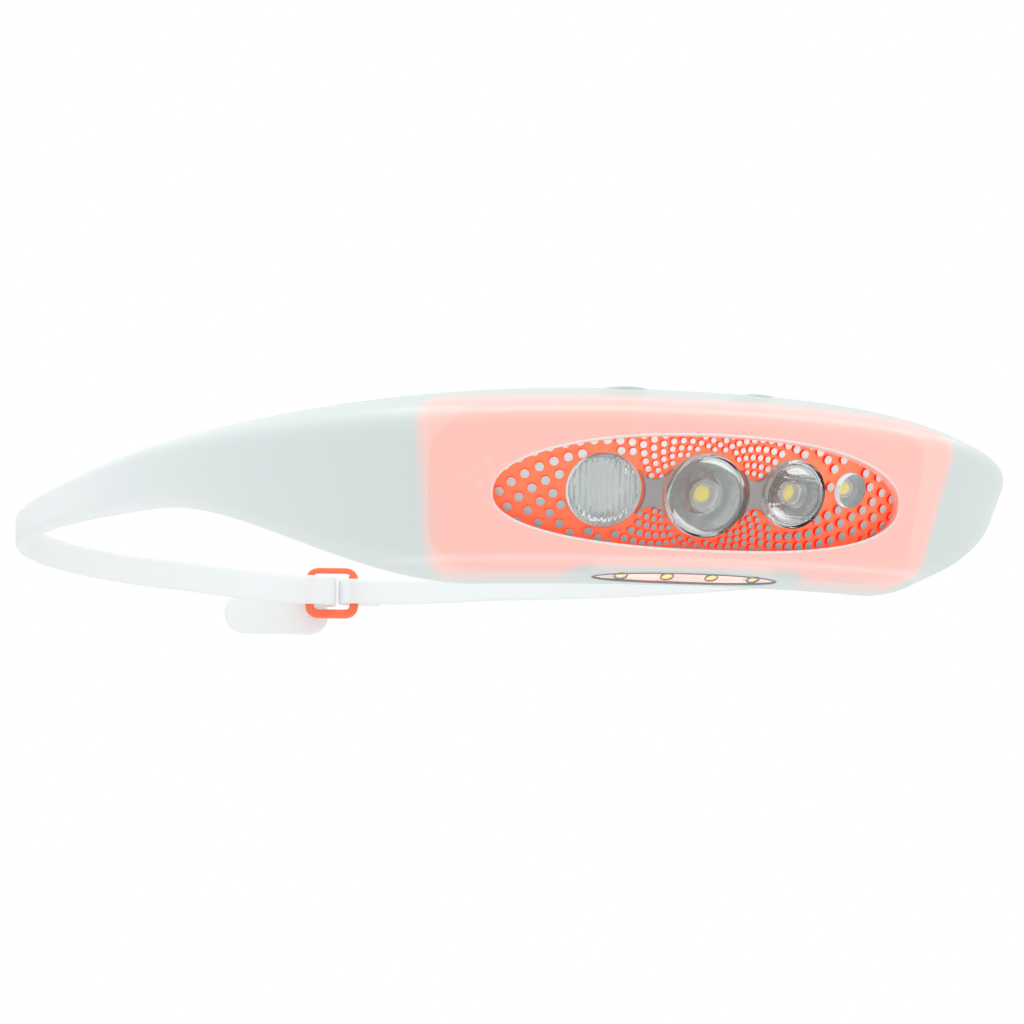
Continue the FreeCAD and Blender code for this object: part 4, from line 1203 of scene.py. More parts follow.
    def arc_at(self, x: float, z: float) -> float:
        """Arc of the front panel's point straight ahead at an x and a height.

        Args:
            x: Distance from the centre, across.
            z: Height over the strap's middle.

        Returns:
            The value.
        """
        depth = SLEEVE.depth_bottom + (z - SLEEVE.ridge_low()) * SLEEVE.lean
        return math.asin(x / (SLEEVE.bend_radius + depth)) * SLEEVE.bend_radius

    def warm(self, band: bpy.types.Object) -> None:
        """Mark how much of the case's colour each point of the silicone takes up, where painted shade greys
        it and where painted highlights lighten its ridges.

        Args:
            band: The headband.
        """
        count = len(band.data.vertices)
        spots = np.empty(count * 3, np.float32)
        band.data.vertices.foreach_get("co", spots)
        spots = spots.reshape(-1, 3) / MM
        x, y, z = spots.T
        arcs = np.arctan2(x, SLEEVE.bend_centre - y) * SLEEVE.bend_radius
        depth = np.hypot(x, y - SLEEVE.bend_centre) - SLEEVE.bend_radius
        ends = np.clip((38.6 - np.abs(arcs)) / 1.8, 0, 1)
        top = np.clip((10.4 - z) / 3.2, 0, 1)
        bottom = np.clip((z + 17.4) / 3.0, 0, 1)
        front = np.clip((depth + 1.0) / 3.0, 0, 1)
        near = np.hypot(np.maximum(np.abs(arcs - self.slot_arc) - self.slot_half_long, 0),
                        depth - self.slot_depth)
        halo = np.where(z < -12.2, np.clip((near - 2.2) / 2.4, 0, 1), 1.0)
        lit = ends * top * bottom * front * halo
        lit = lit * lit * (3 - 2 * lit)
        # painted shade: greyer where the sleeve is thick in front of the lamp and along its top near the
        # lamp
        share = np.array([SLEEVE.taper(arc, SLEEVE.depth_taper) for arc in arcs])
        near_lamp = np.where(y < 0, share, 0.0)
        ends = np.clip((z - 9.0) / 1.5, 0, 1) * np.clip((60 - np.abs(arcs)) / 12, 0, 1)
        thick_shade = np.clip(near_lamp**1.3 * 0.95 + ends * 0.5, 0, 1)
        # painted highlight along the front panel's upper and lower ridges
        lines = np.exp(-((z - 6.9) / 0.42) ** 2) + 0.8 * np.exp(-((z + 13.85) / 0.4) ** 2)
        lines *= np.clip((48 - np.abs(arcs)) / 8, 0, 1) * (depth > 4.0) * (y < 0)
        for label, values in (("warmth", lit), ("thick_shade", thick_shade), ("ridge", lines)):
            mark = band.data.attributes.new(label, "FLOAT", "POINT")
            mark.data.foreach_set("value", values.astype(np.float32))


@dataclass
class ButtonPad:
    """A soft dome moulded in the sleeve's top."""

    name: str
    arc: float
    body: str
    node: str
    radius: float
    hump: float = 0.68
    depth: float = 4.6

    def build(self) -> bpy.types.Object:
        """Build the dome.

        Returns:
            The piece.
        """
        profile = [(0.0, self.hump)]
        for share in np.linspace(0.08, 1, 14):
            profile.append((self.radius * share, self.hump * (1 - eased(share)) - 0.02))
        profile += [(self.radius * 0.9, -0.5), (0.0, -0.5)]
        points, faces = revolved(profile, 56)
        made = make(self.name, points + SLEEVE.bent(self.arc, self.depth, SLEEVE.top), faces, 60.0)
        FINISHES.paint(made, Palette.PAD)
        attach(made, self.body)
        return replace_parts(made, self.node)


# ---------------------------------------------------------------- lamp front
@dataclass(frozen=True)
class LensSpot:
    """Where a lens sits and how wide it is."""

    arc: float
    height: float
    radius: float

    def place(self) -> Matrix:
        """Frame on the faceplate's surface at the lens."""
        return SLEEVE.panel_frame(self.arc, self.height, -SLEEVE.skin)


FLOOD = LensSpot(-14.95, -4.8, 5.4)
SPOT = LensSpot(-1.3, -5.15, 6.1)
READING = LensSpot(11.5, -4.2, 5.1)
SMALL = LensSpot(20.9, -2.95, 2.65)


@dataclass
class PegField:
    """Light pegs that stand out of the faceplate, spreading from the spot lens."""

    closest: float = 0.56
    growth: float = 0.075
    widest: float = 2.3
    height: float = 0.5
    hidden: float = 0.12
    count: int = 2600

    def build(self, window: Headband) -> list[bpy.types.Object]:
        """Build the pegs.

        Args:
            window: The headband, for its window's outline.

        Returns:
            The pieces.
        """
        tops, sides, top_faces, side_faces = [], [], [], []
        for arc, height, radius in self.spots(window):
            tall = self.height if self.reach(arc, height, window, 0.0, 0.0) < 1 else self.hidden
            place = SLEEVE.panel_frame(arc, height, -SLEEVE.skin)
            turn = np.linspace(0, 2 * math.pi, 20, endpoint=False)
            ring = np.column_stack([np.cos(turn), np.sin(turn), np.zeros(20)])
            base = len(sides) * 40
            low, high = ring * [radius * 1.04, radius * 1.04, 1] - [0, 0, 0.1], ring * [radius, radius,
                                                            1] + [0, 0, tall]
            sides.append(placed(np.vstack([low, high]), place))
            side_faces += [tuple(base + i for i in f) for f in grid_faces(2, 20)]
            base = len(tops) * 41
            edge = ring * [radius, radius, 1] + [0, 0, tall]
            lip = ring * [radius * 0.88, radius * 0.88, 1] + [0, 0, tall + 0.06]
            tops.append(placed(np.vstack([edge, lip, [[0, 0, tall + 0.075]]]), place))
            top_faces += [tuple(base + i for i in f) for f in grid_faces(2, 20)]
            top_faces += [(base + 20 + n, base + 20 + (n + 1) % 20, base + 40) for n in range(20)]
        made = [make("peg_sides", np.vstack(sides), side_faces),
                make("peg_tops", np.vstack(tops), top_faces)]
        # the sides' deep red is painted shade round each peg
        FINISHES.paint(made[0], Palette.PEG_SIDE)
        FINISHES.paint(made[1], Palette.PEG_TOP)
        for piece in made:
            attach(piece, "core")
        return made

    def pitch(self, reach: float) -> float:
        """Distance between pegs at a distance from the spot lens.

        Args:
            reach: Distance from the spot lens's middle.

        Returns:
            The value.
        """
        return min(self.closest + self.growth * reach, self.widest)

    def spots(self, window: Headband) -> list[tuple[float, float, float]]:
        """Arc, height and radius of every peg.

        Args:
            window: The headband, for its window.

        Returns:
            The pegs.
        """
        golden = math.pi * (3 - math.sqrt(5))
        reach, found = 3.0, []
        for n in range(self.count):
            step = self.pitch(reach)
            reach += 0.866 * step * step / (2 * math.pi * reach)
            arc = SPOT.arc + reach * math.cos(n * golden)
            height = SPOT.height + reach * math.sin(n * golden)
            radius = min(0.17 + 0.031 * reach, 0.66)
            if self.clear(arc, height, radius, window):
                found.append((arc, height, radius))
        return found

    def clear(self, arc: float, height: float, radius: float, window: Headband) -> bool:
        """Whether a peg shows in the window and keeps off the lenses.

        Args:
            arc: Arc off the centre, in millimetres.
            height: Height over the strap's middle.
            radius: Radius of the peg.
            window: The headband, for its window.

        Returns:
            Whether it does.
        """
        if self.reach(arc, height, window, 2.2, 0.7) > 1:
            return False
        for lens in (FLOOD, SPOT, READING, SMALL):
            if math.hypot(arc - lens.arc, height - lens.height) < lens.radius + radius * 0.45 + 0.1:
                return False
        links = ((FLOOD, SPOT), (SPOT, READING))
        for left, right in links:
            if left.arc < arc < right.arc:
                share = (arc - left.arc) / (right.arc - left.arc)
                level = left.height + (right.height - left.height) * share
                if abs(height - level) < 2.0 + radius * 0.6:
                    return False
        return True

    def reach(self, arc: float, height: float, window: Headband, wider: float, taller: float) -> float:
        """How far out a point lies in the window's oval, 1 on its edge.

        Args:
            arc: Arc off the centre, in millimetres.
            height: Height over the strap's middle.
            window: The headband, for its window.
            wider: Growth of the half width.
            taller: Growth of the half height.

        Returns:
            The value.
        """
        half_wide, half_tall, middle, power = window.window
        stretch = 1 + abs(arc) / 900
        across = abs(arc) / (half_wide * stretch + wider)
        return across**power + (abs(height - middle) / (half_tall + taller)) ** power


@dataclass
class Optics:
    """The four lenses, their reflectors and the links that join three of them."""

    proud: float = 1.5
    waist: float = 1.9

    def build(self) -> list[bpy.types.Object]:
        """Build every lens.

        Returns:
            The pieces.
        """
        triple = [self.flood(), self.collimator("spot_lens", SPOT, 0.0),
                  self.collimator("reading_lens", READING, 0.14)]
        links = [self.link("left_link", FLOOD, SPOT), self.link("right_link", SPOT, READING)]
        small = self.small()
        for piece in triple + [small]:
            FINISHES.paint(piece, Palette.OPTIC)
        for piece in links:
            FINISHES.paint(piece, Palette.BRIDGE)
        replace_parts(triple[0], "triple_lens")
        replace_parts(small, "small_lens")
        cups = [self.cup("flood_reflector", FLOOD, 0.62, 3.4), self.cup("spot_reflector", SPOT, 0.52, 3.95),
                self.cup("reading_reflector", READING, 0.52, 3.95), self.cup("small_reflector", SMALL,
                                                            0.62, 3.4)]
        for cup in cups:
            FINISHES.paint(cup, Palette.CUP)
        made = triple + links + [small] + cups
        for piece in made:
            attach(piece, "core")
        return made

    def disc(self, name: str, lens: LensSpot, front,
             profile: list[tuple[float, float]]) -> bpy.types.Object:
        """A lens with a shaped front and a turned side and back.

        Args:
            name: Name of the piece.
            lens: Its place and radius.
            front: Height of the front at local x and y arrays.
            profile: The side and back, (radius, height) from rim to axis.

        Returns:
            The piece.
        """
        segments, rings = 120, 44
        turn = np.linspace(0, 2 * math.pi, segments, endpoint=False)
        rows = []
        for radius in np.linspace(0.02, 1, rings) * lens.radius * 0.985:
            x, y = radius * np.cos(turn), radius * np.sin(turn)
            rows.append(np.column_stack([x, y, front(x, y)]))
        for radius, height in profile:
            if radius > 1e-6:
                rows.append(np.column_stack([radius * np.cos(turn), radius * np.sin(turn),
                                             np.full(segments, height)]))
        faces = grid_faces(len(rows), segments)
        faces += [tuple(range(segments))[::-1],
                  tuple(range((len(rows) - 1) * segments, len(rows) * segments))]
        return make(name, placed(np.vstack(rows), lens.place()), faces, 35.0)

    def flood(self) -> bpy.types.Object:
        """The wide lens with upright ribs."""
        radius = FLOOD.radius

        def front(x: np.ndarray, y: np.ndarray) -> np.ndarray:
            """Height of the face over its points.

            Args:
                x: Places across the lens.
                y: Places up the lens.

            Returns:
                The points.
            """
            share = np.hypot(x, y) / radius
            ribs = np.abs(np.cos(math.pi * x / 0.78 + 0.25 * np.sin(y * 0.9)))
            return self.proud - 0.35 - 0.5 * share**4 + 0.34 * ribs * (1 - share**8)

        return self.disc("flood_lens", FLOOD, front, [
            (radius, 0.45), (radius, -1.0), (radius * 0.8, -2.3), (radius * 0.5, -2.6), (0.1, -2.6)])

    def collimator(self, name: str, lens: LensSpot, groove: float) -> bpy.types.Object:
        """A lens with a well over its LED and a flared side.

        Args:
            name: Name of the piece.
            lens: The lens it belongs to.
            groove: Depth of the grooves on its face.

        Returns:
            The piece.
        """
        radius = lens.radius
        well = radius * 0.42

        def front(x: np.ndarray, y: np.ndarray) -> np.ndarray:
            """Height of the face over its points.

            Args:
                x: Places across the lens.
                y: Places up the lens.

            Returns:
                The points.
            """
            reach = np.hypot(x, y)
            share = reach / radius
            sink = np.clip((well - reach) / (0.12 * radius), 0, 1)
            height = (self.proud - 0.15 - 0.5 * (1 - share**2) * (1 - sink)
                      - 1.1 * sink * sink * (3 - 2 * sink))
            height += np.where(reach < well, 0.35 * (1 - (reach / well) ** 2), 0)
            for line in (2.5, 0.6, -1.4, -3.3):
                height -= groove * np.clip(1 - np.abs(y - line) / 0.11, 0, 1) * (sink < 0.5)
            return height

        side = [(radius, self.proud - 0.45), (radius, -0.2)]
        for share in np.linspace(0.15, 1, 9):
            side.append((radius * (1 - 0.48 * share**1.5), -0.2 - 3.5 * share))
        side += [(radius * 0.4, -3.8), (radius * 0.38, -1.5), (radius * 0.3, -1.15), (0.05, -1.05)]
        return self.disc(name, lens, front, side)

    def small(self) -> bpy.types.Object:
        """The small domed lens."""
        radius = SMALL.radius

        def front(x: np.ndarray, y: np.ndarray) -> np.ndarray:
            """Height of the face over its points.

            Args:
                x: Places across the lens.
                y: Places up the lens.

            Returns:
                The points.
            """
            share = np.hypot(x, y) / radius
            return 0.55 + (self.proud - 0.55) * np.sqrt(np.clip(1 - 0.92 * share**2, 0, 1))

        return self.disc("small_lens_dome", SMALL, front, [
            (radius, 0.7), (radius, -0.9), (radius * 0.93, -0.95), (radius * 0.5, -0.6), (0.1, -0.5)])

    def link(self, name: str, left: LensSpot, right: LensSpot) -> bpy.types.Object:
        """A waisted strip between two lenses.

        Args:
            name: Name of the piece.
            left: The left lens.
            right: The right lens.

        Returns:
            The piece.
        """
        gap = math.hypot(right.arc - left.arc, right.height - left.height)
        tilt = math.atan2(right.height - left.height, right.arc - left.arc)
        outline = self.link_outline(left.radius * 0.985, right.radius * 0.985, gap)
        turn = np.array([[math.cos(tilt), -math.sin(tilt)], [math.sin(tilt), math.cos(tilt)]])
        flat = outline @ turn.T + [left.arc, left.height]
        middle = flat.mean(axis=0)
        rows = []
        for shrink, out in ((0.0, 0.02), (0.0, 0.72), (0.03, 0.86), (0.09, 0.93)):
            ring = flat * (1 - shrink) + middle * shrink
            rows.append([placed([0, 0, 0], SLEEVE.panel_frame(arc, height, out - SLEEVE.skin)) for arc,
                         height in ring])
        count = len(flat)
        faces = grid_faces(len(rows), count) + [tuple(range(count))[::-1],
                                                tuple(range(3 * count, 4 * count))]
        return make(name, np.vstack(rows), faces)

    def link_outline(self, left: float, right: float, gap: float) -> np.ndarray:
        """A waisted plate between two circles, its left circle at the origin.

        Args:
            left: Radius of the left circle.
            right: Radius of the right circle.
            gap: Distance between their centres.

        Returns:
            The outline.
        """
        angle = math.radians(35)
        c, s = math.cos(angle), math.sin(angle)
        share = np.linspace(0, 1, 18)[:, None]
        start, end = np.array([left * c, left * s]), np.array([gap - right * c, right * s])
        reach_left, reach_right = (start[1] - self.waist) * 1.6, (end[1] - self.waist) * 1.6
        one, two = start + np.array([s, -c]) * reach_left, end + np.array([-s, -c]) * reach_right
        top = ((1 - share) ** 3 * start + 3 * share * (1 - share) ** 2 * one
               + 3 * share**2 * (1 - share) * two + share**3 * end)
        turn = np.linspace(angle, -angle, 12)[1:-1]
        right_side = np.column_stack([gap - right * np.cos(turn), right * np.sin(turn)])
        left_side = np.column_stack([left * np.cos(turn[::-1]), left * np.sin(turn[::-1])])
        return np.vstack([top, right_side, (top * [1, -1])[::-1], left_side])

    def cup(self, name: str, lens: LensSpot, neck: float, deep: float) -> bpy.types.Object:
        """A thin reflector behind a lens.

        Args:
            name: Name of the piece.
            lens: The lens it belongs to.
            neck: Share of the radius at its back.
            deep: Depth of its back.

        Returns:
            The piece.
        """
        radius = lens.radius + 0.07
        outer, inner = [], []
        for share in np.linspace(0, 1, 12):
            reach = radius * (1 - (1 - neck) * share**1.5)
            outer.append((reach + 0.06, -0.15 - (deep - 0.15) * share))
            inner.append((reach, -0.15 - (deep - 0.15) * share))
        points, _ = revolved(outer + inner[::-1], 72)
        return make(name, placed(points, lens.place()), grid_faces(24, 72, closed_rows=True))


@dataclass
class Diodes:
    """LED packages: a white frame, its phosphor dome and its solder feet."""

    side: float = 3.0
    tall: float = 0.7
    depth: float = 4.7
    collar_top: float = -1.75
    small_collar_top: float = -1.2
    small_radius: float = 0.95

    def build(self) -> list[bpy.types.Object]:
        """Build the four front LEDs.

        Returns:
            The pieces.
        """
        made = []
        for label, lens in (("flood", FLOOD), ("spot", SPOT), ("reading", READING), ("small", SMALL)):
            place = lens.place() @ Matrix.Translation((0, 0, -self.depth))
            frame_piece = self.frame_block(f"{label}_led_frame", place)
            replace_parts(frame_piece, f"{label}_led")
            made += [frame_piece, self.feet(f"{label}_led_feet", place)]
            if label == "flood":
                made += [self.dome("flood_led_dome", place, 1.22, 0.55, self.tall), self.diffuser()]
            else:
                top = self.collar_top if label != "small" else self.small_collar_top
                size = {"spot": 1.55, "reading": 1.45}.get(label, self.small_radius)
                made += self.guide(label, lens.place(), size, top)
        for piece in made:
            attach(piece, "core")
        return made

    def diffuser(self) -> bpy.types.Object:
        """The pale sheet under the flood lens."""
        points, faces = revolved([(0.0, -2.75), (FLOOD.radius * 0.7, -2.75), (FLOOD.radius * 0.7, -3.0),
                                  (0.0, -3.0)], 64)
        made = make("flood_diffuser", placed(points, FLOOD.place()), faces, 30.0)
        return FINISHES.paint(made, Palette.CUP)

    def guide(self, label: str, place: Matrix, radius: float, top: float) -> list[bpy.types.Object]:
        """The white collar that lifts an LED's light to its lens, and the phosphor on it.

        Args:
            label: The lens's name.
            place: Frame of the piece, in millimetres.
            radius: Radius, in millimetres.
            top: Height of its top from the face.

        Returns:
            The pieces.
        """
        wide = radius * 1.32
        profile = [(0.0, top), (radius * 0.98, top), (radius * 1.04, top + 0.22), (wide, top + 0.1),
                   (wide, top - 0.4), (1.45, -3.95), (0.0, -3.95)]
        points, faces = revolved(profile, 48)
        collar = make(f"{label}_led_collar", placed(points, place), faces, 35.0)
        FINISHES.paint(collar, Palette.LED_FRAME)
        return [collar, self.dome(f"{label}_led_dome", place, radius * 0.86, 0.3, top)]

    def ring(self, name: str, place: Matrix, radius: float, thick: float) -> bpy.types.Object:
        """A dark ring round a dome, painted shade at its edge.

        Args:
            name: Name of the piece.
            place: Frame of the piece, in millimetres.
            radius: Radius, in millimetres.
            thick: Half thickness of the ring.

        Returns:
            The piece.
        """
        turn = np.linspace(0, 2 * math.pi, 10, endpoint=False)
        points, _ = revolved([(radius + thick * math.cos(a), 0.1 + thick * math.sin(a)) for a in turn], 40)
        made = make(name, placed(points, place), grid_faces(10, 40, closed_rows=True))
        return FINISHES.paint(made, Palette.OUTLINE)

    def frame_block(self, name: str, place: Matrix) -> bpy.types.Object:
        """The white frame with a round well.

        Args:
            name: Name of the piece.
            place: Frame of the piece, in millimetres.

        Returns:
            The piece.
        """
        half = self.side / 2
        turn = np.linspace(0, 2 * math.pi, 48, endpoint=False)
        square = []
        for angle in turn:
            c, s = math.cos(angle), math.sin(angle)
            reach = half / max(abs(c), abs(s))
            reach = min(reach, half * 1.32)
            square.append([c * reach, s * reach])
        square = np.array(square)
        ring = np.column_stack([np.cos(turn), np.sin(turn)])
        rows = []
        for flat, height in ((square, 0.0), (square, self.tall - 0.06), (square * 0.975, self.tall),
                             (ring * 1.34, self.tall), (ring * 1.2, self.tall - 0.3)):
            rows.append(np.column_stack([flat, np.full(48, height)]))
        faces = grid_faces(5, 48) + [tuple(range(48))[::-1], tuple(range(4 * 48, 5 * 48))]
        made = make(name, placed(np.vstack(rows), place), faces, 30.0)
        return FINISHES.paint(made, Palette.LED_FRAME)

    def dome(self, name: str, place: Matrix, radius: float, rise: float, start: float) -> bpy.types.Object:
        """The yellow dome.

        Args:
            name: Name of the piece.
            place: Frame of the piece, in millimetres.
            radius: Radius, in millimetres.
            rise: Height of the dome.
            start: Height of its foot.

        Returns:
            The piece.
        """
        profile = [(0.0, start + rise)]
        for share in np.linspace(0.1, 1, 10):
            profile.append((radius * share, start - 0.28 + (rise + 0.28) * math.sqrt(max(0.0,
                                                            1 - share**2))))
        profile.append((0.0, start - 0.29))
        points, faces = revolved(profile, 40)
        made = make(name, placed(points, place), faces, 60.0)
        return FINISHES.paint(made, Palette.PHOSPHOR)

    def feet(self, name: str, place: Matrix) -> bpy.types.Object:
        """Two plated feet that stick out under the frame.

        Args:
            name: Name of the piece.
            place: Frame of the piece, in millimetres.

        Returns:
            The piece.
        """
        points, faces = [], []
        for side in (-1, 1):
            corners = [(side * 1.35, -1.0), (side * 1.85, -1.0), (side * 1.85, 1.0), (side * 1.35, 1.0)]
            base = len(points) * 1
            points += [[x, y, 0.01] for x, y in corners] + [[x, y, 0.16] for x, y in corners]
            faces += [tuple(base + i for i in f) for f in grid_faces(2, 4)]
            faces += [tuple(base + i for i in (3, 2, 1, 0)), tuple(base + i for i in (4, 5, 6, 7))]
        made = make(name, placed(np.array(points), place), faces)
        return FINISHES.paint(made, Palette.SOCKET)


@dataclass
class DownLight:
    """The pane in the down light's opening, its four lens bumps, white strips and dark outline."""

    thick: float = 0.13
    spacing: float = 6.8
    line_arc: float = -1.3
    line_depth: float = 2.75
    bumps: int = 4
    bump_radius: float = 0.8
    bump_rise: float = 0.1
    ring_radius: float = 0.95
    ring_thick: float = 0.12
    pane_play: float = 0.2
    pane_top: float = 0.16
    pane_back: float = 1.3
    strip_arcs: tuple[float, float, float] = (-12.4, -1.3, 9.4)
    strip_half: tuple[float, float] = (1.9, 0.24)
    strip_top: float = 0.1
    strip_back: float = 0.2

    def build(self, band: Headband, diodes: Diodes) -> list[bpy.types.Object]:
        """Build the outline, the pinkish pane with its four lens bumps, and its white strips.

        Args:
            band: The headband, for the slot's place.
            diodes: What makes the bumps.

        Returns:
            The pieces.
        """
        edge = self.outline(band)
        pane = self.pane("down_light_pane", band.slot(-self.pane_play), self.pane_top, self.pane_back)
        FINISHES.paint(pane, Palette.PINK_CLEAR)
        pieces = [edge, pane]
        for n in range(self.bumps):
            place = self.place(self.line_arc + (n - (self.bumps - 1) / 2) * self.spacing)
            pieces.append(diodes.dome(f"down_dome_{n + 1}", place, self.bump_radius, self.bump_rise, 0.0))
            pieces.append(diodes.ring(f"down_ring_{n + 1}", place, self.ring_radius, self.ring_thick))
        for n, middle in enumerate(self.strip_arcs):
            outline = self.strip(middle, *self.strip_half)
            strip = self.pane(f"down_strip_{n + 1}", outline, self.strip_top, self.strip_back)
            pieces.append(FINISHES.paint(strip, Palette.LED_FRAME))
        return [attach(piece, "headband") for piece in pieces]

    def place(self, arc: float) -> Matrix:
        """The frame of a bump on the pane, its z axis facing down and forward.

        Args:
            arc: Arc off the centre, in millimetres.

        Returns:
            The frame.
        """
        spot = SLEEVE.floor_point(arc, self.line_depth, self.pane_top)
        angle = arc / SLEEVE.bend_radius
        slope = math.atan(SLEEVE.bottom_rise / SLEEVE.depth_bottom)
        radial = Vector((math.sin(angle), -math.cos(angle), 0))
        normal = radial * math.sin(slope) - Vector((0, 0, math.cos(slope)))
        along = Vector((math.cos(angle), math.sin(angle), 0))
        axes = Matrix((along, normal.cross(along), normal)).transposed().to_4x4()
        return Matrix.Translation(Vector(spot)) @ axes

    def strip(self, middle: float, half_long: float, half_wide: float) -> list[tuple[float, float]]:
        """A small oblong as (arc, depth) round a point of the line.

        Args:
            middle: Arc of its middle.
            half_long: Half length.
            half_wide: Half width.

        Returns:
            The (arc, depth) or (depth, height) pairs.
        """
        flat = rounded([(-half_long, -half_wide), (half_long, -half_wide), (half_long, half_wide),
                        (-half_long, half_wide)], [half_wide * 0.9] * 4, 5, [4] * 4)
        return [(middle + a, self.line_depth - 0.55 + b) for a, b in flat]

    def pane(self, name: str, outline: list, top: float, deep: float) -> bpy.types.Object:
        """A plate following the sleeve's floor.

        Args:
            name: Its name.
            outline: Its outline as (arc, depth).
            top: How far its face lies inside the floor.
            deep: How far its back lies inside the floor.

        Returns:
            The plate.
        """
        rows = [SLEEVE.floor_point(arc, depth, top) for arc, depth in outline]
        rows += [SLEEVE.floor_point(arc, depth, deep) for arc, depth in outline]
        count = len(outline)
        faces = grid_faces(2, count) + [tuple(range(count))[::-1], tuple(range(count, 2 * count))]
        return outward(make(name, np.array(rows), faces))

    def outline(self, band: Headband) -> bpy.types.Object:
        """The dark line round the slot's mouth, painted shade at its edge.

        Args:
            band: The headband.

        Returns:
            The piece.
        """
        rows = []
        path = band.slot(-0.12)
        for n, (arc, depth) in enumerate(path):
            before, after = path[n - 1], path[(n + 1) % len(path)]
            along = np.array([after[0] - before[0], after[1] - before[1]])
            away = np.array([along[1], -along[0]]) / np.linalg.norm(along)
            for side, inset in ((-self.thick, 0.2), (self.thick, 0.2), (self.thick, -0.04),
                                (-self.thick, -0.04)):
                rows.append(SLEEVE.floor_point(arc + away[0] * side, depth + away[1] * side, inset))
        made = make("down_light_outline", np.array(rows), grid_faces(len(path), 4, closed_rows=True))
        return FINISHES.paint(made, Palette.OUTLINE)


# ---------------------------------------------------------------- buckle
@dataclass
class Buckle:
    """The orange ring between the two strap ends."""

    width: float = 12.6
    height: float = 12.0
    bar: float = 2.1
    corner: float = 1.8
    drop: float = 1.25
    left: tuple[float, float] = (-10.35, 104.32)
    right: tuple[float, float] = (0.15, 102.21)

    def build(self) -> bpy.types.Object:
        """Build the ring.

        Returns:
            The piece.
        """
        half_wide, half_tall = (self.width - self.bar) / 2, (self.height - self.bar) / 2
        corners = [(-half_wide, -half_tall), (half_wide, -half_tall), (half_wide, half_tall),
                   (-half_wide, half_tall)]
        path = rounded(corners, [self.corner * 1.25] * 4, 12, [8, 8, 8, 8])
        half = self.bar / 2
        section = rounded([(-half, -half), (half, -half), (half, half), (-half, half)], [0.62] * 4, 6,
                          [1] * 4)
        middle = (np.array(self.left) + np.array(self.right)) / 2
        along = np.array(self.right) - np.array(self.left)
        along /= np.linalg.norm(along)
        rows = []
        for n in range(len(path)):
            step = path[(n + 1) % len(path)] - path[n - 1]
            away = np.array([step[1], -step[0]]) / np.linalg.norm(step)
            slim = 0.62 if path[n][1] > half_tall - 0.3 else 1.0
            for side, out in section:
                across = path[n] + away * (half + (side - half) * slim)
                spot = middle + along * across[0] + np.array([-along[1], along[0]]) * out
                rows.append([spot[0], spot[1], across[1] - self.drop])
        made = make("buckle", np.array(rows), grid_faces(len(path), len(section), closed_rows=True), 50.0)
        FINISHES.paint(made, Palette.ORANGE)
        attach(made, "buckle")
        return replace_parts(made, "buckle_ring")


# ---------------------------------------------------------------- inside
class Inside:
    """The designed parts that show as they are, each with its finish."""

    FINISH = {
        "front_case": Palette.CORAL, "back_cover": Palette.CORAL,
        "faceplate": Palette.PLATE, "case_seal": Palette.SEAL,
        "cover_screws": Palette.STEEL, "led_board": Palette.BOARD, "main_board": Palette.BOARD,
        "down_light_board": Palette.BOARD, "down_light_window": Palette.PINK_CLEAR,
        "down_light_leds": Palette.LED_FRAME,
        "board_ribbon": Palette.RIBBON, "mode_plunger": Palette.ORANGE, "power_plunger": Palette.ORANGE,
        "mode_switch": Palette.BLACK, "power_switch": Palette.BLACK, "mode_switch_stem": Palette.BLACK,
        "power_switch_stem": Palette.BLACK, "charge_socket_shell": Palette.SOCKET,
        "charge_socket_tongue": Palette.BLACK,
        "left_battery_cell": Palette.FOIL, "right_battery_cell": Palette.FOIL,
        "battery_leads": Palette.LEAD,
    }

    def build(self) -> list[bpy.types.Object]:
        """Paint every carried part.

        Returns:
            The pieces.
        """
        made = []
        for node, finish in self.FINISH.items():
            made.append(FINISHES.paint(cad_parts[node], finish))
        return made


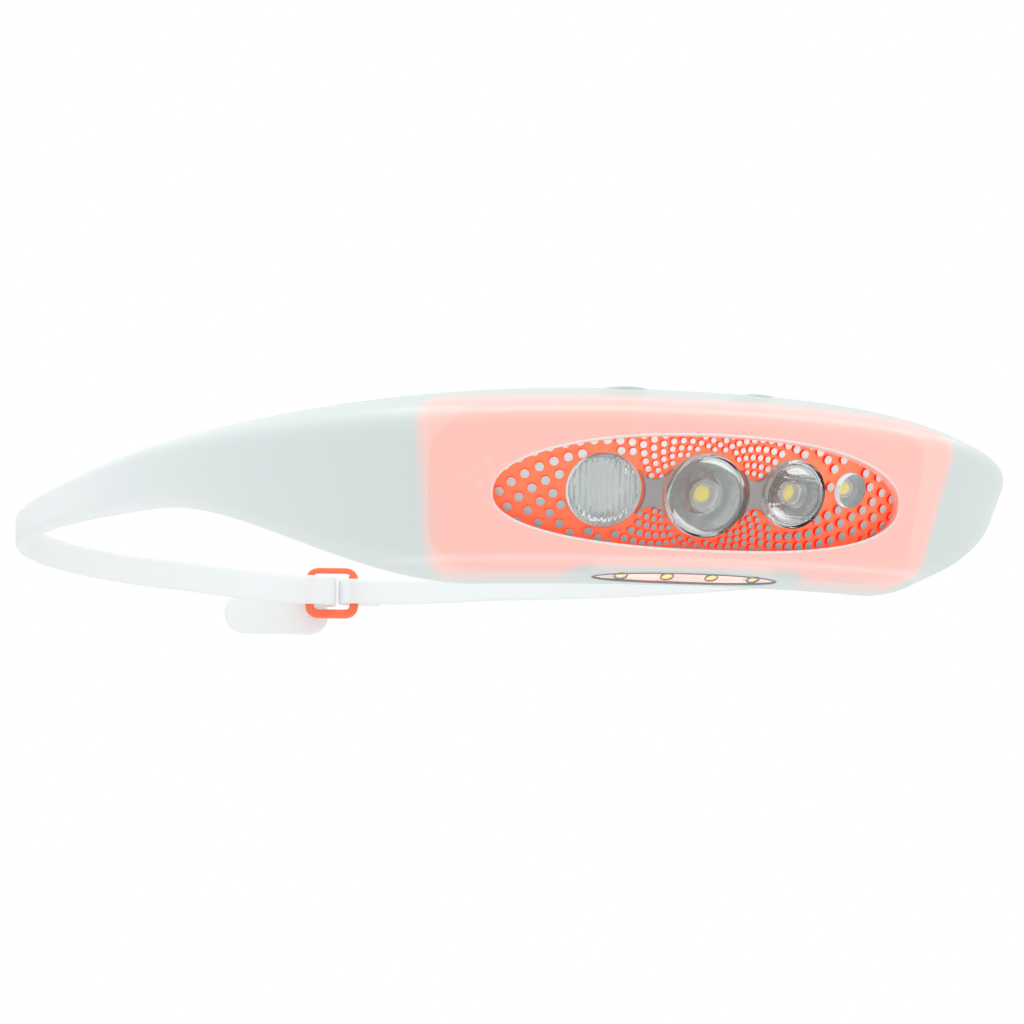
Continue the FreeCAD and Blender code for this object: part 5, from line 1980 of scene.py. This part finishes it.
# ---------------------------------------------------------------- studio
@dataclass
class Studio:
    """Floor, light and camera."""

    floor_level: float = -0.3
    floor_side: float = 2.0
    sky_low: float = 0.66
    sky_high: float = 1.0
    key: tuple[tuple[float, float, float], float, float] = ((-0.35, -0.5, 1.0), 0.6, 2.6)
    fill: tuple[tuple[float, float, float], float, float] = ((0.9, -0.7, 0.2), 0.8, 0.8)
    aim: tuple[float, float, float] = (0, -0.05, 0)
    camera_place: tuple[float, float, float] = (-0.12675, -0.39057, -0.04602)
    camera_turn: float = 18.68
    camera_lift: float = 7.23
    camera_lens: float = 75.0
    camera_sensor: float = 36.0

    def build(self) -> None:
        """Set the stage."""
        side = self.floor_side / 2 / MM
        level = self.floor_level / MM
        floor = make("floor", np.array([[-side, -side, level], [side, -side, level],
                                        [side, side, level], [-side, side, level]]),
                     [(0, 1, 2, 3)])
        FINISHES.paint(floor, Palette.FLOOR)
        self.light_sky()
        self.lamp("key", *self.key)
        self.lamp("fill", *self.fill)
        bpy.context.scene.view_settings.view_transform = "Standard"
        self.camera()

    def light_sky(self) -> None:
        """A white room, lighter above than below, that shows as plain white."""
        world = bpy.data.worlds.new("sky")
        world.use_nodes = True
        graph = Graph(world.node_tree)
        place = graph.add("ShaderNodeTexCoord").outputs["Generated"]
        height = graph.add("ShaderNodeSeparateXYZ", {0: place}).outputs[2]
        light = graph.span(height, -0.6, 0.9, self.sky_low, self.sky_high)
        seen = graph.add("ShaderNodeLightPath").outputs["Is Camera Ray"]
        level = graph.math("MAXIMUM", light, seen)
        back = world.node_tree.nodes["Background"]
        world.node_tree.links.new(level, back.inputs[1])
        back.inputs[0].default_value = (1, 1, 1, 1)
        bpy.context.scene.world = world

    def lamp(self, name: str, place: tuple[float, float, float], side: float, power: float) -> None:
        """One soft light aimed at the lamp.

        Args:
            name: Name of the light.
            place: Its place, in metres.
            side: Side of its square.
            power: Power in watts.
        """
        data = bpy.data.lights.new(name, "AREA")
        data.size, data.energy = side, power
        made = bpy.data.objects.new(name, data)
        made.location = place
        made.rotation_euler = (Vector(self.aim) - Vector(place)).to_track_quat("-Z", "Y").to_euler()
        bpy.context.scene.collection.objects.link(made)

    def camera(self) -> None:
        """The main camera, from the front left and a little below."""
        data = bpy.data.cameras.new("camera")
        data.lens, data.sensor_width = self.camera_lens, self.camera_sensor
        data.dof.use_dof = False
        made = bpy.data.objects.new("camera", data)
        made.location = self.camera_place
        turn, lift = math.radians(self.camera_turn), math.radians(self.camera_lift)
        ahead = Vector((math.sin(turn) * math.cos(lift), math.cos(turn) * math.cos(lift), math.sin(lift)))
        made.rotation_euler = ahead.to_track_quat("-Z", "Y").to_euler()
        bpy.context.scene.collection.objects.link(made)
        bpy.context.scene.camera = made


def main() -> None:
    """Build the headlamp's looks round the frame."""
    logging.basicConfig(level=logging.INFO, format="%(message)s")
    band = Headband()
    pieces = band.build()
    pieces.append(ButtonPad("mode_dome", -11.3, "mode_pad", "mode_button_pad", 3.6).build())
    pieces.append(ButtonPad("power_dome", 8.1, "power_pad", "power_button_pad", 3.2).build())
    pieces += Inside().build()
    pieces += PegField().build(band)
    pieces += Optics().build()
    diodes = Diodes()
    pieces += diodes.build()
    pieces += DownLight().build(band, diodes)
    pieces.append(Buckle().build())
    Studio().build()
    for piece in pieces:
        LOG.info("%s: %d faces", piece.name, len(piece.data.polygons))


if __name__ == "__main__":
    main()
